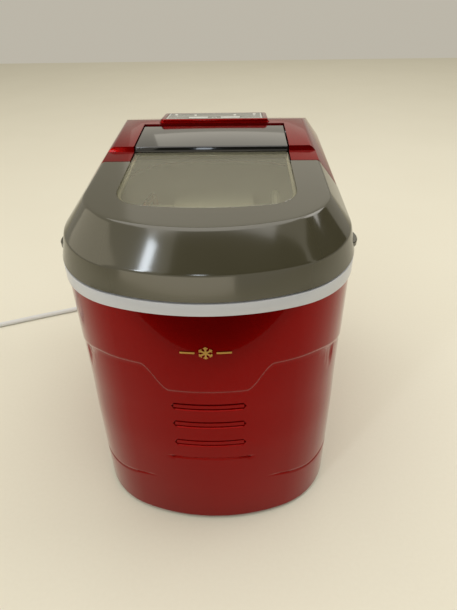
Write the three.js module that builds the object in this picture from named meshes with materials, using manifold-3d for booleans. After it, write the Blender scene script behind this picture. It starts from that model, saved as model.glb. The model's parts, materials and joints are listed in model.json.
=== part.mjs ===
// Counter-top ice maker: red cabinet, tilted smoked lid, working parts inside.
// Millimetres. +Z is up, the front faces -Y, and the floor is at Z = 0 under the middle of the cabinet.
import * as THREE from 'three';
import { mergeVertices } from 'three/addons/utils/BufferGeometryUtils.js';
import Module from 'manifold-3d';

const wasm = await Module();
wasm.setup();

// ---------------------------------------------------------------- driving dimensions
const GAP = 0.3;                    // clearance between parts that touch
const HALF_WIDTH = 119;             // widest plan outline, at the lid's lower edge
const HALF_DEPTH = 179;
const FRONT_RADIUS = 191;           // bow of the front
const REAR_RADIUS = 380;            // bow of the rear
const CORNER_RADIUS = 77;

const BODY_INSET = 1.5;             // cabinet lies this far inside the widest outline
const WALL = 2.5;
const FOOT_HEIGHT = 5;
const BODY_TOP = 249.7;
const RING_BOTTOM = 250;
const RING_WIDTH = 11;
const RING_GAP = 1.8;               // dark line between ring and lid

const LID_SLOPE = 0.0625;           // the lid rises this much per millimetre towards the rear
const LID_EDGE_Z = 262;             // lower edge of the lid at the very front
const LID_RIDGE_Z = 281;            // where the rim turns into the chamfer, at the front
const LID_RIDGE_INSET = 4.4;
const LID_FLAT_Z = 307;             // flat top at its front edge
const LID_FLAT_INSET = 24;
const LID_SKIN = 5.5;               // thickness of the lid's flat top, ledge included

const STEP_Y = -11;                 // step up to the raised rear deck
const STEP_HEIGHT = 4.4;
const STEP_INSET = 27.3;
const SEAM_Y = -34;                 // seam between lid and rear cover
const SEAM_GAP = 1;
const CREASE_Y = 69;                // the roof falls away behind this line

const TONGUE_HALF = 69.7;
const SLOT_HALF = 71;
const HINGE_Y = 46;
const BARREL_RADIUS = 7.96;
const HINGE_Z = lidTop(HINGE_Y) + STEP_HEIGHT - BARREL_RADIUS;
const PIN_RADIUS = 3;

const POD_HALF = 56.5;
const POD_FRONT_Y = 55.5;
const POD_REAR_Y = 103;
const POD_FRONT_Z = 328.6;
const POD_TILT = THREE.MathUtils.degToRad(5);

const TRAY_Y = -30;                 // axis of the tilting water tray
const TRAY_Z = 212;
const TRAY_RADIUS = 28;
const EVAPORATOR_Z = 248;

const FAN_CENTRE = [35, 125, 90];
const COMPRESSOR = [-56, 80];
const PUMP = [62, 45];

const CORD_RADIUS = 3.5;
const CORD_EXIT = [-55, 201, 36];
const COIL_CENTRE = [-396.5, 73.7];
const COIL_MIDDLE_RADIUS = 42;
const CORD_HEADING = Math.atan2(-43, -105);   // direction in which the lead runs to the coil

// ---------------------------------------------------------------- colours
const RED = 0x8a1410;
const SMOKE = 0x5b5546;
const BLACK = 0x141414;
const GREY = 0x6f7270;
const WHITE = 0xd9dcdb;
const GOLD = 0xc79a2e;
const STEEL = 0xa9adb0;
const COPPER = 0xb5703c;
const GREEN = 0x1f5c37;
const CORD_GREY = 0xc9cbca;

// ---------------------------------------------------------------- heights of the tilted lid
function lidEdge(y) {
  return LID_EDGE_Z + LID_SLOPE * (y + HALF_DEPTH);
}

function lidRidge(y) {
  return LID_RIDGE_Z + LID_SLOPE * (y + HALF_DEPTH - LID_RIDGE_INSET);
}

function lidTop(y) {
  return LID_FLAT_Z + LID_SLOPE * (y + HALF_DEPTH - LID_FLAT_INSET);
}

// ---------------------------------------------------------------- plan outlines
const CABINET = {
  half: HALF_WIDTH,
  front: -HALF_DEPTH,
  frontRadius: FRONT_RADIUS,
  frontCorner: CORNER_RADIUS,
  rear: HALF_DEPTH,
  rearRadius: REAR_RADIUS,
  rearCorner: CORNER_RADIUS,
};

const TANK = {
  half: 95,
  front: -165,
  frontRadius: 180,
  frontCorner: 55,
  rear: 12,
  rearRadius: 4000,
  rearCorner: 14,
};

const BASKET = {
  half: 84,
  front: -156,
  frontRadius: 170,
  frontCorner: 46,
  rear: -68,
  rearRadius: 4000,
  rearCorner: 12,
};

const WINDOW = {
  half: 70,
  front: -124,
  frontRadius: 260,
  frontCorner: 26,
  rear: STEP_Y - 1.5,
  rearRadius: 9000,
  rearCorner: 3,
};

// Bowed front, rounded corners, straight sides, bowed rear: one closed ring of points, anticlockwise.
function outline(plan, inset = 0, arcSteps = 4, cornerSteps = 6) {
  const half = plan.half - inset;
  const right = [];
  const arcPoint = (cx, cy, radius, angle) => {
    right.push([cx + radius * Math.cos(angle), cy + radius * Math.sin(angle)]);
  };
  const frontRadius = plan.frontRadius - inset;
  const frontCorner = Math.max(plan.frontCorner - inset, 0.5);
  const frontY = plan.front + inset;
  const frontTurn = Math.asin((half - frontCorner) / (frontRadius - frontCorner));
  const frontCornerY = frontY + frontRadius - (frontRadius - frontCorner) * Math.cos(frontTurn);
  for (let i = 0; i < arcSteps; i += 1) {
    arcPoint(0, frontY + frontRadius, frontRadius, -Math.PI / 2 + frontTurn * i / arcSteps);
  }
  for (let i = 0; i <= cornerSteps; i += 1) {
    const turn = (Math.PI / 2 - frontTurn) * i / cornerSteps;
    arcPoint(half - frontCorner, frontCornerY, frontCorner, -Math.PI / 2 + frontTurn + turn);
  }
  const rearRadius = plan.rearRadius - inset;
  const rearCorner = Math.max(plan.rearCorner - inset, 0.5);
  const rearY = plan.rear - inset;
  const rearTurn = Math.asin((half - rearCorner) / (rearRadius - rearCorner));
  const rearCornerY = rearY - rearRadius + (rearRadius - rearCorner) * Math.cos(rearTurn);
  for (let i = 0; i <= cornerSteps; i += 1) {
    arcPoint(half - rearCorner, rearCornerY, rearCorner, (Math.PI / 2 - rearTurn) * i / cornerSteps);
  }
  for (let i = 1; i <= arcSteps; i += 1) {
    arcPoint(0, rearY - rearRadius, rearRadius, Math.PI / 2 - rearTurn * (1 - i / arcSteps));
  }
  const left = right.slice(1, -1).reverse().map(([x, y]) => [-x, y]);
  return right.concat(left);
}

// ---------------------------------------------------------------- solid helpers
// Skin over rings with equal point counts; a closed loft joins the last ring to the first.
function loft(rings, closed = false) {
  const count = rings[0].length;
  const positions = rings.flat(2);
  const index = [];
  const bands = closed ? rings.length : rings.length - 1;
  for (let i = 0; i < bands; i += 1) {
    const low = i * count;
    const high = ((i + 1) % rings.length) * count;
    for (let j = 0; j < count; j += 1) {
      const k = (j + 1) % count;
      index.push(low + j, low + k, high + k, low + j, high + k, high + j);
    }
  }
  if (!closed) {
    const top = (rings.length - 1) * count;
    for (let j = 1; j < count - 1; j += 1) {
      index.push(0, j + 1, j, top, top + j, top + j + 1);
    }
  }
  const geometry = new THREE.BufferGeometry();
  geometry.setAttribute('position', new THREE.Float32BufferAttribute(positions, 3));
  geometry.setIndex(index);
  return geometry;
}

function ring(plan, inset, height) {
  const at = typeof height === 'function' ? height : () => height;
  return outline(plan, inset).map(([x, y]) => [x, y, at(y)]);
}

function prism(plan, inset, low, high) {
  return loft([ring(plan, inset, low), ring(plan, inset, high)]);
}

function sleeve(plan, outer, inner, low, high) {
  const rings = [
    ring(plan, outer, low),
    ring(plan, outer, high),
    ring(plan, inner, high),
    ring(plan, inner, low),
  ];
  return loft(rings, true);
}

function cup(plan, wall, low, floor, high, inset = 0) {
  return loft([
    ring(plan, inset, low),
    ring(plan, inset, high),
    ring(plan, inset + wall, high),
    ring(plan, inset + wall, floor),
  ]);
}

function block(x0, x1, y0, y1, z0, z1) {
  const geometry = new THREE.BoxGeometry(x1 - x0, y1 - y0, z1 - z0);
  return geometry.translate((x0 + x1) / 2, (y0 + y1) / 2, (z0 + z1) / 2);
}

// Solid cylinder along an axis; `from` and `to` are its ends on that axis.
function rod(axis, centre, radius, from, to, sides = 20) {
  const geometry = new THREE.CylinderGeometry(radius, radius, to - from, sides);
  const middle = (from + to) / 2;
  const [u, v] = centre;
  if (axis === 'x') {
    return geometry.rotateZ(Math.PI / 2).translate(middle, u, v);
  }
  if (axis === 'y') {
    return geometry.translate(u, middle, v);
  }
  return geometry.rotateX(Math.PI / 2).translate(u, v, middle);
}

// Side profile of [y, z] points, extruded along X.
function profileX(points, from, to) {
  const shape = new THREE.Shape(points.map(([y, z]) => new THREE.Vector2(y, z)));
  const geometry = new THREE.ExtrudeGeometry(shape, { depth: to - from, bevelEnabled: false });
  const axes = new THREE.Matrix4().makeBasis(
    new THREE.Vector3(0, 1, 0),
    new THREE.Vector3(0, 0, 1),
    new THREE.Vector3(1, 0, 0),
  );
  return geometry.applyMatrix4(axes).translate(from, 0, 0);
}

function turned(points, centre, sides = 24) {
  const profile = points.map(([r, z]) => new THREE.Vector2(r, z));
  const geometry = new THREE.LatheGeometry(profile, sides);
  return geometry.rotateX(Math.PI / 2).translate(centre[0], centre[1], centre[2] ?? 0);
}

function tube(points, radius, steps, sides = 8) {
  const curve = new THREE.CatmullRomCurve3(points.map((p) => new THREE.Vector3(...p)), false, 'centripetal');
  const section = new THREE.Shape();
  for (let i = 0; i < sides; i += 1) {
    const angle = 2 * Math.PI * i / sides;
    const move = i === 0 ? 'moveTo' : 'lineTo';
    section[move](radius * Math.cos(angle), radius * Math.sin(angle));
  }
  section.closePath();
  return new THREE.ExtrudeGeometry(section, { steps, extrudePath: curve, bevelEnabled: false });
}

function solid(geometry) {
  const bare = geometry.clone();
  bare.deleteAttribute('normal');
  bare.deleteAttribute('uv');
  const merged = mergeVertices(bare, 1e-4);
  const mesh = new wasm.Mesh({
    numProp: 3,
    vertProperties: Float32Array.from(merged.attributes.position.array),
    triVerts: Uint32Array.from(merged.index.array),
  });
  return new wasm.Manifold(mesh);
}

function skin(manifold) {
  const mesh = manifold.getMesh();
  const geometry = new THREE.BufferGeometry();
  geometry.setAttribute('position', new THREE.BufferAttribute(mesh.vertProperties, 3));
  geometry.setIndex(new THREE.BufferAttribute(mesh.triVerts, 1));
  return geometry;
}

function join(...shapes) {
  return skin(shapes.map(solid).reduce((sum, next) => sum.add(next)));
}

function cut(shape, ...tools) {
  return skin(tools.map(solid).reduce((rest, tool) => rest.subtract(tool), solid(shape)));
}

function common(shape, ...others) {
  return skin(others.map(solid).reduce((rest, other) => rest.intersect(other), solid(shape)));
}

const iceMaker = new THREE.Group();

function part(name, geometry, color, roughness = 0.5, metalness = 0, parent = iceMaker) {
  const mesh = new THREE.Mesh(geometry, new THREE.MeshStandardMaterial({ color, roughness, metalness }));
  mesh.name = name;
  parent.add(mesh);
  return mesh;
}

// ---------------------------------------------------------------- cabinet
const BODY_INNER = BODY_INSET + WALL;
const REAR_PANEL = { half: 75, low: 22, high: 236, y: 140 };
const VENTS = { levels: [156.5, 135.7, 113], offset: 3, halfLength: 29, height: 2.4 };
const LOUVRES = { count: 7, low: 62, pitch: 11, height: 3.2, front: 20, rear: 92 };
const CUT_DEPTH = 8;                // how far a cutting block reaches in from the widest outline

function ventSlits() {
  const slits = [];
  const { halfLength, height } = VENTS;
  for (const z of VENTS.levels) {
    for (const offset of [-VENTS.offset, VENTS.offset]) {
      const low = z + offset - height / 2;
      slits.push(block(-halfLength, halfLength, -HALF_DEPTH, -HALF_DEPTH + 12, low, low + height));
    }
  }
  return slits;
}

function sideLouvres() {
  const slots = [];
  for (let i = 0; i < LOUVRES.count; i += 1) {
    const z = LOUVRES.low + i * LOUVRES.pitch;
    const top = z + LOUVRES.height;
    slots.push(block(-HALF_WIDTH, -HALF_WIDTH + CUT_DEPTH, LOUVRES.front, LOUVRES.rear, z, top));
    slots.push(block(HALF_WIDTH - CUT_DEPTH, HALF_WIDTH, LOUVRES.front, LOUVRES.rear, z, top));
  }
  return slots;
}

const DRAIN = { y: -62, z: 34, radius: 13 };

function bodyShell() {
  const wall = sleeve(CABINET, BODY_INSET, BODY_INNER, FOOT_HEIGHT, BODY_TOP);
  const { half, low, high, y } = REAR_PANEL;
  const rearOpening = block(-half, half, y, HALF_DEPTH, low, high);
  const drainHole = rod('x', [DRAIN.y, DRAIN.z], DRAIN.radius, HALF_WIDTH - CUT_DEPTH, HALF_WIDTH + 2);
  return cut(wall, rearOpening, drainHole, ...ventSlits(), ...sideLouvres());
}

const GRILLE = { count: 9, low: 66, pitch: 12, height: 4.5, half: 58 };

function rearPanel() {
  const wall = sleeve(CABINET, BODY_INSET, BODY_INNER, FOOT_HEIGHT, BODY_TOP);
  const { half, low, high, y } = REAR_PANEL;
  const plate = common(wall, block(-half + GAP, half - GAP, y, HALF_DEPTH, low + GAP, high - GAP));
  const slots = [];
  for (let i = 0; i < GRILLE.count; i += 1) {
    const z = GRILLE.low + i * GRILLE.pitch;
    slots.push(block(-GRILLE.half, GRILLE.half, y, HALF_DEPTH, z, z + GRILLE.height));
  }
  const cordHole = rod('y', [CORD_EXIT[0], CORD_EXIT[2]], 5.4, y, HALF_DEPTH, 16);
  return cut(plate, cordHole, ...slots);
}

function basePan() {
  const rimTop = 18;
  const floor = 8;
  return cup(CABINET, 2, FOOT_HEIGHT, floor, rimTop, BODY_INNER + GAP);
}

part('body_shell', bodyShell(), RED, 0.25, 0.6);
part('rear_panel', rearPanel(), RED, 0.3, 0.6);
part('base_pan', basePan(), BLACK, 0.6);
part('trim_ring', loft([
  ring(CABINET, 0, RING_BOTTOM),
  ring(CABINET, 0, (y) => lidEdge(y) - RING_GAP),
  ring(CABINET, RING_WIDTH, (y) => lidEdge(y) - RING_GAP),
  ring(CABINET, RING_WIDTH, RING_BOTTOM),
], true), WHITE, 0.35);

const FOOT_X = 78;
const FOOT_Y = 112;
for (const [side, x] of [['left', -FOOT_X], ['right', FOOT_X]]) {
  for (const [end, y] of [['front', -FOOT_Y], ['rear', FOOT_Y]]) {
    const foot = turned([[0, 0], [11, 0], [12, 2], [12, FOOT_HEIGHT - GAP], [0, FOOT_HEIGHT - GAP]], [x, y]);
    part(`foot_${end}_${side}`, foot, BLACK, 0.8);
  }
}

// Raised badge that follows the bow of the front: a six-armed ice crystal on a slim bar.
const BADGE = { half: 19.7, z: 216, proud: 0.8, barHeight: 1.4, armLength: 11.5, armWidth: 1.7 };

function badge() {
  const arms = [];
  for (let i = 0; i < 3; i += 1) {
    const arm = new THREE.BoxGeometry(BADGE.armLength, 14, BADGE.armWidth);
    arms.push(arm.rotateY(Math.PI * (i + 0.5) / 3).translate(0, -HALF_DEPTH + 4, BADGE.z));
  }
  const low = BADGE.z - BADGE.barHeight / 2;
  const bar = block(-BADGE.half, BADGE.half, -HALF_DEPTH - 3, -HALF_DEPTH + 11, low, low + BADGE.barHeight);
  const band = sleeve(CABINET, BODY_INSET - BADGE.proud, BODY_INSET - GAP, BADGE.z - 11, BADGE.z + 11);
  return common(join(bar, ...arms), band);
}

part('front_badge', badge(), GOLD, 0.3, 0.8);

// ---------------------------------------------------------------- lid and rear cover
// The domed cap, from its lower edge to a flat top; `thin` moves every face inwards.
function cap(thin, flatInset, flatHeight, skinDepth) {
  return loft([
    ring(CABINET, thin, (y) => lidEdge(y) - 2 * thin),
    ring(CABINET, LID_RIDGE_INSET + thin, (y) => lidRidge(y) - 0.4 * thin),
    ring(CABINET, flatInset + 0.4 * thin, (y) => flatHeight(y) - skinDepth),
  ]);
}

const raisedTop = (y) => lidTop(y) + STEP_HEIGHT;
const roofEnd = lidRidge(HALF_DEPTH - LID_RIDGE_INSET);
const roofFall = (raisedTop(CREASE_Y) - roofEnd) / (HALF_DEPTH - LID_RIDGE_INSET - CREASE_Y);

function rearRoof(y) {
  return raisedTop(CREASE_Y) - roofFall * (y - CREASE_Y);
}

function windowPane(grow, low, high) {
  return loft([
    ring(WINDOW, -grow, (y) => lidTop(y) + low),
    ring(WINDOW, -grow, (y) => lidTop(y) + high),
  ]);
}

function lidShell() {
  const outer = cap(0, LID_FLAT_INSET, lidTop, 0);
  const inner = cap(WALL, LID_FLAT_INSET, lidTop, LID_SKIN);
  const behindSeam = block(-130, 130, SEAM_Y - SEAM_GAP / 2, 200, 200, 400);
  const dome = cut(outer, inner, behindSeam);
  const tongueEnd = HINGE_Y - BARREL_RADIUS - 2;
  const under = LID_SKIN;
  const ledge = 2.6;
  const tongue = profileX([
    [SEAM_Y - 8, lidTop(SEAM_Y - 8) - under],
    [tongueEnd, lidTop(tongueEnd) - under],
    [tongueEnd, lidTop(tongueEnd) - ledge],
    [SEAM_Y - 8, lidTop(SEAM_Y - 8) - ledge],
  ], -TONGUE_HALF, TONGUE_HALF);
  const tabs = [-1, 1].map((side) => {
    const tab = new THREE.CylinderGeometry(14, 14, 4.4, 20).rotateX(Math.PI / 2).scale(0.6, 1, 1);
    return tab.translate(side * (HALF_WIDTH + 2 - 14 * 0.6), -97, lidEdge(-97) + 3);
  });
  const trimmedTabs = tabs.map((tab) => cut(tab, inner));
  const recess = windowPane(GAP, -ledge, 5);
  const view = windowPane(-6, -20, 5);
  return cut(join(dome, tongue, ...trimmedTabs), recess, view);
}

function tongueCap() {
  const depth = 2.3;
  const neckY = HINGE_Y - BARREL_RADIUS + 0.4;
  const points = [[STEP_Y, lidTop(STEP_Y) - depth], [neckY, lidTop(neckY) - depth]];
  for (let i = 0; i <= 10; i += 1) {
    const angle = Math.PI * (1.08 + 1.42 * i / 10);
    points.push([HINGE_Y + BARREL_RADIUS * Math.cos(angle), HINGE_Z + BARREL_RADIUS * Math.sin(angle)]);
  }
  points.push([STEP_Y, raisedTop(STEP_Y)]);
  const body = profileX(points, -TONGUE_HALF, TONGUE_HALF);
  const bores = [-1, 1].map((side) => {
    const from = Math.min(side * 58, side * 75);
    return rod('x', [HINGE_Y, HINGE_Z], PIN_RADIUS + GAP, from, from + 17, 16);
  });
  return cut(body, ...bores);
}

function rearCover() {
  const roof = (drop, start) => profileX([
    [start, 230],
    [start, lidTop(start) - drop],
    [STEP_Y, lidTop(STEP_Y) - drop],
    [STEP_Y + (drop > 0 ? WALL : 0), raisedTop(STEP_Y) - drop],
    [CREASE_Y, raisedTop(CREASE_Y) - drop],
    [HALF_DEPTH, rearRoof(HALF_DEPTH) - drop],
    [HALF_DEPTH, 230],
  ].reverse(), -125, 125);
  const outer = common(cap(0, STEP_INSET, raisedTop, 0), roof(0, SEAM_Y + SEAM_GAP / 2));
  const inner = common(cap(WALL, STEP_INSET, raisedTop, WALL), roof(WALL, SEAM_Y - 6));
  const slot = block(-SLOT_HALF, SLOT_HALF, SEAM_Y - 5, HINGE_Y + BARREL_RADIUS + 0.6, 230, 340);
  const boardWindow = block(-48, 48, 62, 97, 290, 340);
  return cut(outer, inner, slot, boardWindow);
}

part('lid_shell', lidShell(), SMOKE, 0.2, 0.3);
part('lid_window', windowPane(0, -2.3, -0.1), SMOKE, 0.1);
part('lid_tongue_cap', tongueCap(), BLACK, 0.15);
part('rear_top_cover', rearCover(), RED, 0.25, 0.6);

for (const [name, side] of [['left', -1], ['right', 1]]) {
  const inner = side * 60;
  const outer = side * 77;
  const pin = rod('x', [HINGE_Y, HINGE_Z], PIN_RADIUS, Math.min(inner, outer), Math.max(inner, outer), 16);
  part(`hinge_pin_${name}`, pin, STEEL, 0.3, 1);
  const x0 = Math.min(side * 72, side * 76);
  const plate = block(x0, x0 + 4, 37, 55, 296, 320);
  const bore = rod('x', [HINGE_Y, HINGE_Z], PIN_RADIUS + GAP, x0 - 2, x0 + 6, 16);
  part(`hinge_bracket_${name}`, cut(plate, bore), BLACK, 0.6);
}

// ---------------------------------------------------------------- control pod, on the rear cover
const podTop = (y) => POD_FRONT_Z - Math.tan(POD_TILT) * (y - POD_FRONT_Y);
const PANEL = { half: 50, front: 60, rear: 98, thick: 1.1 };

function podSlab(half, front, rear, low, high) {
  return profileX([
    [front, podTop(front) + low],
    [rear, podTop(rear) + low],
    [rear, podTop(rear) + high],
    [front, podTop(front) + high],
  ], -half, half);
}

function controlPod() {
  const lift = GAP;
  const body = profileX([
    [POD_FRONT_Y, raisedTop(POD_FRONT_Y) + lift],
    [CREASE_Y, raisedTop(CREASE_Y) + lift],
    [POD_REAR_Y, rearRoof(POD_REAR_Y) + lift],
    [POD_REAR_Y, podTop(POD_REAR_Y)],
    [POD_FRONT_Y, podTop(POD_FRONT_Y)],
  ], -POD_HALF, POD_HALF);
  const well = block(-46, 46, 63, 95, 300, 340);
  const seat = podSlab(PANEL.half + GAP, PANEL.front - GAP, PANEL.rear + GAP, -PANEL.thick - GAP, 4);
  return cut(body, well, seat);
}

const KEYS = [['power_button', -16.5], ['select_button', 16.5]];
const KEY = { halfX: 10, front: 63.5, rear: 69.5, proud: 0.5 };
const LAMPS = [
  ['lamp_make', -42, 91.5],
  ['lamp_full', -21, 86],
  ['lamp_water', 21, 86],
  ['lamp_power', 42, 91.5],
];
const LAMP_RADIUS = 1.9;
const BOARD_Z = 313;

function panelFace() {
  const plate = podSlab(PANEL.half, PANEL.front, PANEL.rear, -PANEL.thick, 0);
  const holes = KEYS.map(([, x]) => block(
    x - KEY.halfX - GAP, x + KEY.halfX + GAP, KEY.front - GAP, KEY.rear + GAP, 310, 340));
  const lampHoles = LAMPS.map(([, x, y]) => rod('z', [x, y], LAMP_RADIUS + GAP, 300, 340, 12));
  return cut(plate, ...holes, ...lampHoles);
}

part('control_pod', controlPod(), RED, 0.2, 0.6);
part('control_panel', panelFace(), GREY, 0.2);
for (const [name, x] of KEYS) {
  const keyTop = profileX([
    [KEY.front, podTop(KEY.front) - 2],
    [KEY.rear, podTop(KEY.rear) - 2],
    [KEY.rear, podTop(KEY.rear) + KEY.proud],
    [KEY.front, podTop(KEY.front) + KEY.proud],
  ], x - KEY.halfX, x + KEY.halfX);
  const stem = block(x - 2, x + 2, 65, 68, BOARD_Z + 3, 326);
  part(name, join(keyTop, stem), WHITE, 0.4);
}
for (const [name, x, y] of LAMPS) {
  part(name, rod('z', [x, y], LAMP_RADIUS, podTop(y) - 4, podTop(y) + 0.1, 12), WHITE, 0.2);
}
part('control_board', block(-45, 45, 64, 94, BOARD_Z - 1.6, BOARD_Z), GREEN, 0.6);

// ---------------------------------------------------------------- tank, basket and ice works
const DECK_Z = 246;
const DECK_THICK = 2.5;
const TANK_TOP = 255;
const HOSE_XY = [62, 24];
const SUCTION_XY = [-62, 24];

function innerDeck() {
  const plate = prism(CABINET, RING_WIDTH + GAP, DECK_Z, DECK_Z + DECK_THICK);
  const tankHole = prism(TANK, -GAP, DECK_Z - 5, DECK_Z + 8);
  const holes = [HOSE_XY, SUCTION_XY].map((xy) => rod('z', xy, 6, DECK_Z - 5, DECK_Z + 8, 16));
  return cut(plate, tankHole, ...holes);
}

function iceBasket() {
  const body = cup(BASKET, 1.8, 110, 112, 195);
  const slots = [];
  for (let i = 0; i < 7; i += 1) {
    const x = -63 + i * 21;
    slots.push(block(x - 3, x + 3, -142, -80, 105, 120));
  }
  return cut(body, ...slots);
}

function waterTray() {
  const trough = [];
  const steps = 14;
  for (let i = 0; i <= steps; i += 1) {
    const angle = Math.PI * (1 + i / steps);
    trough.push([TRAY_Y + TRAY_RADIUS * Math.cos(angle), TRAY_Z + TRAY_RADIUS * Math.sin(angle)]);
  }
  const bore = trough.map(([y, z]) => [
    TRAY_Y + (y - TRAY_Y) * (1 - 2 / TRAY_RADIUS),
    TRAY_Z + (z - TRAY_Z) * (1 - 2 / TRAY_RADIUS),
  ]);
  bore.push([TRAY_Y + TRAY_RADIUS - 2, TRAY_Z + 5], [TRAY_Y - TRAY_RADIUS + 2, TRAY_Z + 5]);
  const shell = cut(profileX(trough, -62, 62), profileX(bore, -60, 60));
  const axles = [
    rod('x', [TRAY_Y, TRAY_Z - 6], 3.2, -72, -61, 12),
    rod('x', [TRAY_Y, TRAY_Z - 6], 3.2, 61, 73.5, 12),
  ];
  return join(shell, ...axles);
}

function evaporator() {
  const shapes = [block(-56, 56, TRAY_Y - 8, TRAY_Y + 8, EVAPORATOR_Z - 4, EVAPORATOR_Z + 4)];
  for (let i = 0; i < 8; i += 1) {
    shapes.push(rod('z', [-49 + i * 14, TRAY_Y], 3.5, TRAY_Z - 8, EVAPORATOR_Z - 3, 10));
  }
  return join(...shapes);
}

function iceShovel() {
  const bladeY = -66;
  const blade = block(-71, 71, bladeY, bladeY + 3, 221, 238);
  const arms = [-71, 67].map((x) => block(x, x + 4, bladeY + 1, 2, 221, 227));
  const teeth = [];
  for (let i = 0; i < 7; i += 1) {
    const x = -42 + i * 14;
    teeth.push(block(x - 2.5, x + 2.5, bladeY - 1, bladeY + 6, 230, 242));
  }
  return cut(join(blade, ...arms), ...teeth);
}

const FLOAT_XY = [60, -12];

function innerTank() {
  const guide = turned([[0, 60.5], [2, 60.5], [2, 112], [5, 112], [5, 114], [0, 114]], FLOAT_XY, 12);
  const ledges = [-93.5, 78].map((x) => block(x, x + 15.5, -104, -76, 106, 110 - GAP));
  return join(cup(TANK, 2, 60, 62, TANK_TOP), guide, ...ledges);
}

part('inner_tank', innerTank(), WHITE, 0.5);
part('inner_deck', innerDeck(), WHITE, 0.5);
part('ice_basket', iceBasket(), WHITE, 0.4);
part('water_tray', waterTray(), WHITE, 0.4);
part('evaporator', evaporator(), STEEL, 0.35, 0.8);

// Strap that hangs the evaporator from the deck and passes over the tank's rear wall.
function evaporatorBracket() {
  const low = EVAPORATOR_Z + 4 + GAP;
  const high = TANK_TOP + 2 * GAP;
  const foot = DECK_Z + DECK_THICK + GAP;
  const thick = 3;
  return profileX([
    [TRAY_Y - 8, low],
    [TRAY_Y + 8, low],
    [TRAY_Y + 16, high],
    [34, high],
    [34, foot],
    [34 + thick, foot],
    [34 + thick, high + thick],
    [TRAY_Y + 15, high + thick],
    [TRAY_Y + 7, low + thick],
    [TRAY_Y - 8, low + thick],
  ], -40, 40);
}

part('evaporator_bracket', evaporatorBracket(), WHITE, 0.5);
part('ice_shovel', iceShovel(), WHITE, 0.4);
part('tray_motor', block(74, 91, TRAY_Y - 16, TRAY_Y + 16, 192, 218), BLACK, 0.6);
part('ice_sensor_left', block(-90.5, -85.5, -112, -102, 200, 210), BLACK, 0.4);
part('ice_sensor_right', block(85.5, 90.5, -112, -102, 200, 210), BLACK, 0.4);

part('level_float', turned([[2.6, 70], [9, 70], [9, 86], [2.6, 86], [2.6, 70]], FLOAT_XY, 16), WHITE, 0.5);

// ---------------------------------------------------------------- drain at the lower right side
part('drain_spout', tube([
  [86, DRAIN.y, 59.4], [86, DRAIN.y, 50], [88, DRAIN.y, 40], [94, DRAIN.y, DRAIN.z], [104, DRAIN.y, DRAIN.z],
], 5, 10, 10), WHITE, 0.5);
part('drain_plug', rod('x', [DRAIN.y, DRAIN.z], 11.5, 104.4, HALF_WIDTH - BODY_INSET, 24), BLACK, 0.5);

// ---------------------------------------------------------------- water pump and hose
const PUMP_TOP = 40;
part('water_pump', cut(
  join(rod('z', PUMP, 18, 8.4, PUMP_TOP, 24), rod('y', [PUMP[0], 32], 5, PUMP[1] + 10, PUMP[1] + 30, 12)),
  rod('z', PUMP, 13, 20, PUMP_TOP + 5, 24),
  rod('y', [PUMP[0], 32], 3, PUMP[1] + 5, PUMP[1] + 40, 12),
), BLACK, 0.5);
part('pump_cover', turned([
  [5, PUMP_TOP + GAP], [18, PUMP_TOP + GAP], [18, 43], [7, 43], [7, 52], [5, 52], [5, PUMP_TOP + GAP],
], PUMP), WHITE, 0.5);

function impeller() {
  const hub = rod('z', PUMP, 4, 22, 37, 12);
  const vanes = [0, 1].map((i) => {
    const vane = new THREE.BoxGeometry(21, 1.6, 12).rotateZ(Math.PI * i / 2);
    return vane.translate(PUMP[0], PUMP[1], 30);
  });
  return join(hub, ...vanes);
}

part('pump_impeller', impeller(), WHITE, 0.5);
part('water_hose', tube([
  [PUMP[0], PUMP[1] + 31, 32], [PUMP[0], 84, 34], [PUMP[0] + 8, 92, 46], [PUMP[0] + 14, 80, 66],
  [PUMP[0] + 8, 46, 84], [...HOSE_XY, 120], [...HOSE_XY, 180], [...HOSE_XY, 244], [62, 16, 264],
  [62, 4, 268], [62, -8, 262], [62, -12, 252], [62, -13, 242],
], 4, 44, 8), WHITE, 0.3);

// ---------------------------------------------------------------- refrigeration
part('compressor', turned([
  [0, 20], [34, 20], [40, 28], [41, 60], [40, 96], [33, 116], [18, 126], [0, 128],
], COMPRESSOR, 28), BLACK, 0.4, 0.4);
for (let i = 0; i < 3; i += 1) {
  const angle = Math.PI * (0.5 + 2 * i / 3);
  const xy = [COMPRESSOR[0] + 26 * Math.cos(angle), COMPRESSOR[1] + 26 * Math.sin(angle)];
  part(`compressor_mount_${i + 1}`, rod('z', xy, 7, 8.3, 19.7, 16), BLACK, 0.8);
}

function condenser() {
  const core = block(-5, 75, 140, 158, 28, 150);
  const gaps = [];
  for (let i = 0; i < 15; i += 1) {
    gaps.push(block(-3, 73, 138, 156, 33 + i * 7.8, 37 + i * 7.8));
  }
  return cut(core, ...gaps);
}

function fanBlade() {
  const [x, y, z] = FAN_CENTRE;
  const blades = [rod('y', [x, z], 12, y - 5, y + 5, 20)];
  for (let i = 0; i < 5; i += 1) {
    const blade = new THREE.BoxGeometry(18, 1.4, 26).rotateZ(0.45).translate(0, 0, 21);
    blade.rotateY(2 * Math.PI * i / 5);
    blades.push(blade.translate(x, y, z));
  }
  return join(...blades);
}

function fanMotor() {
  const [x, y, z] = FAN_CENTRE;
  const can = rod('y', [x, z], 16, y - 26, y - 8.4, 20);
  const strap = block(x - 41, x + 41, y - 13, y - 8.4, z - 5, z + 5);
  const shaft = rod('y', [x, z], 2, y - 9, y - 5.4, 10);
  return join(can, strap, shaft);
}

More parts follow.
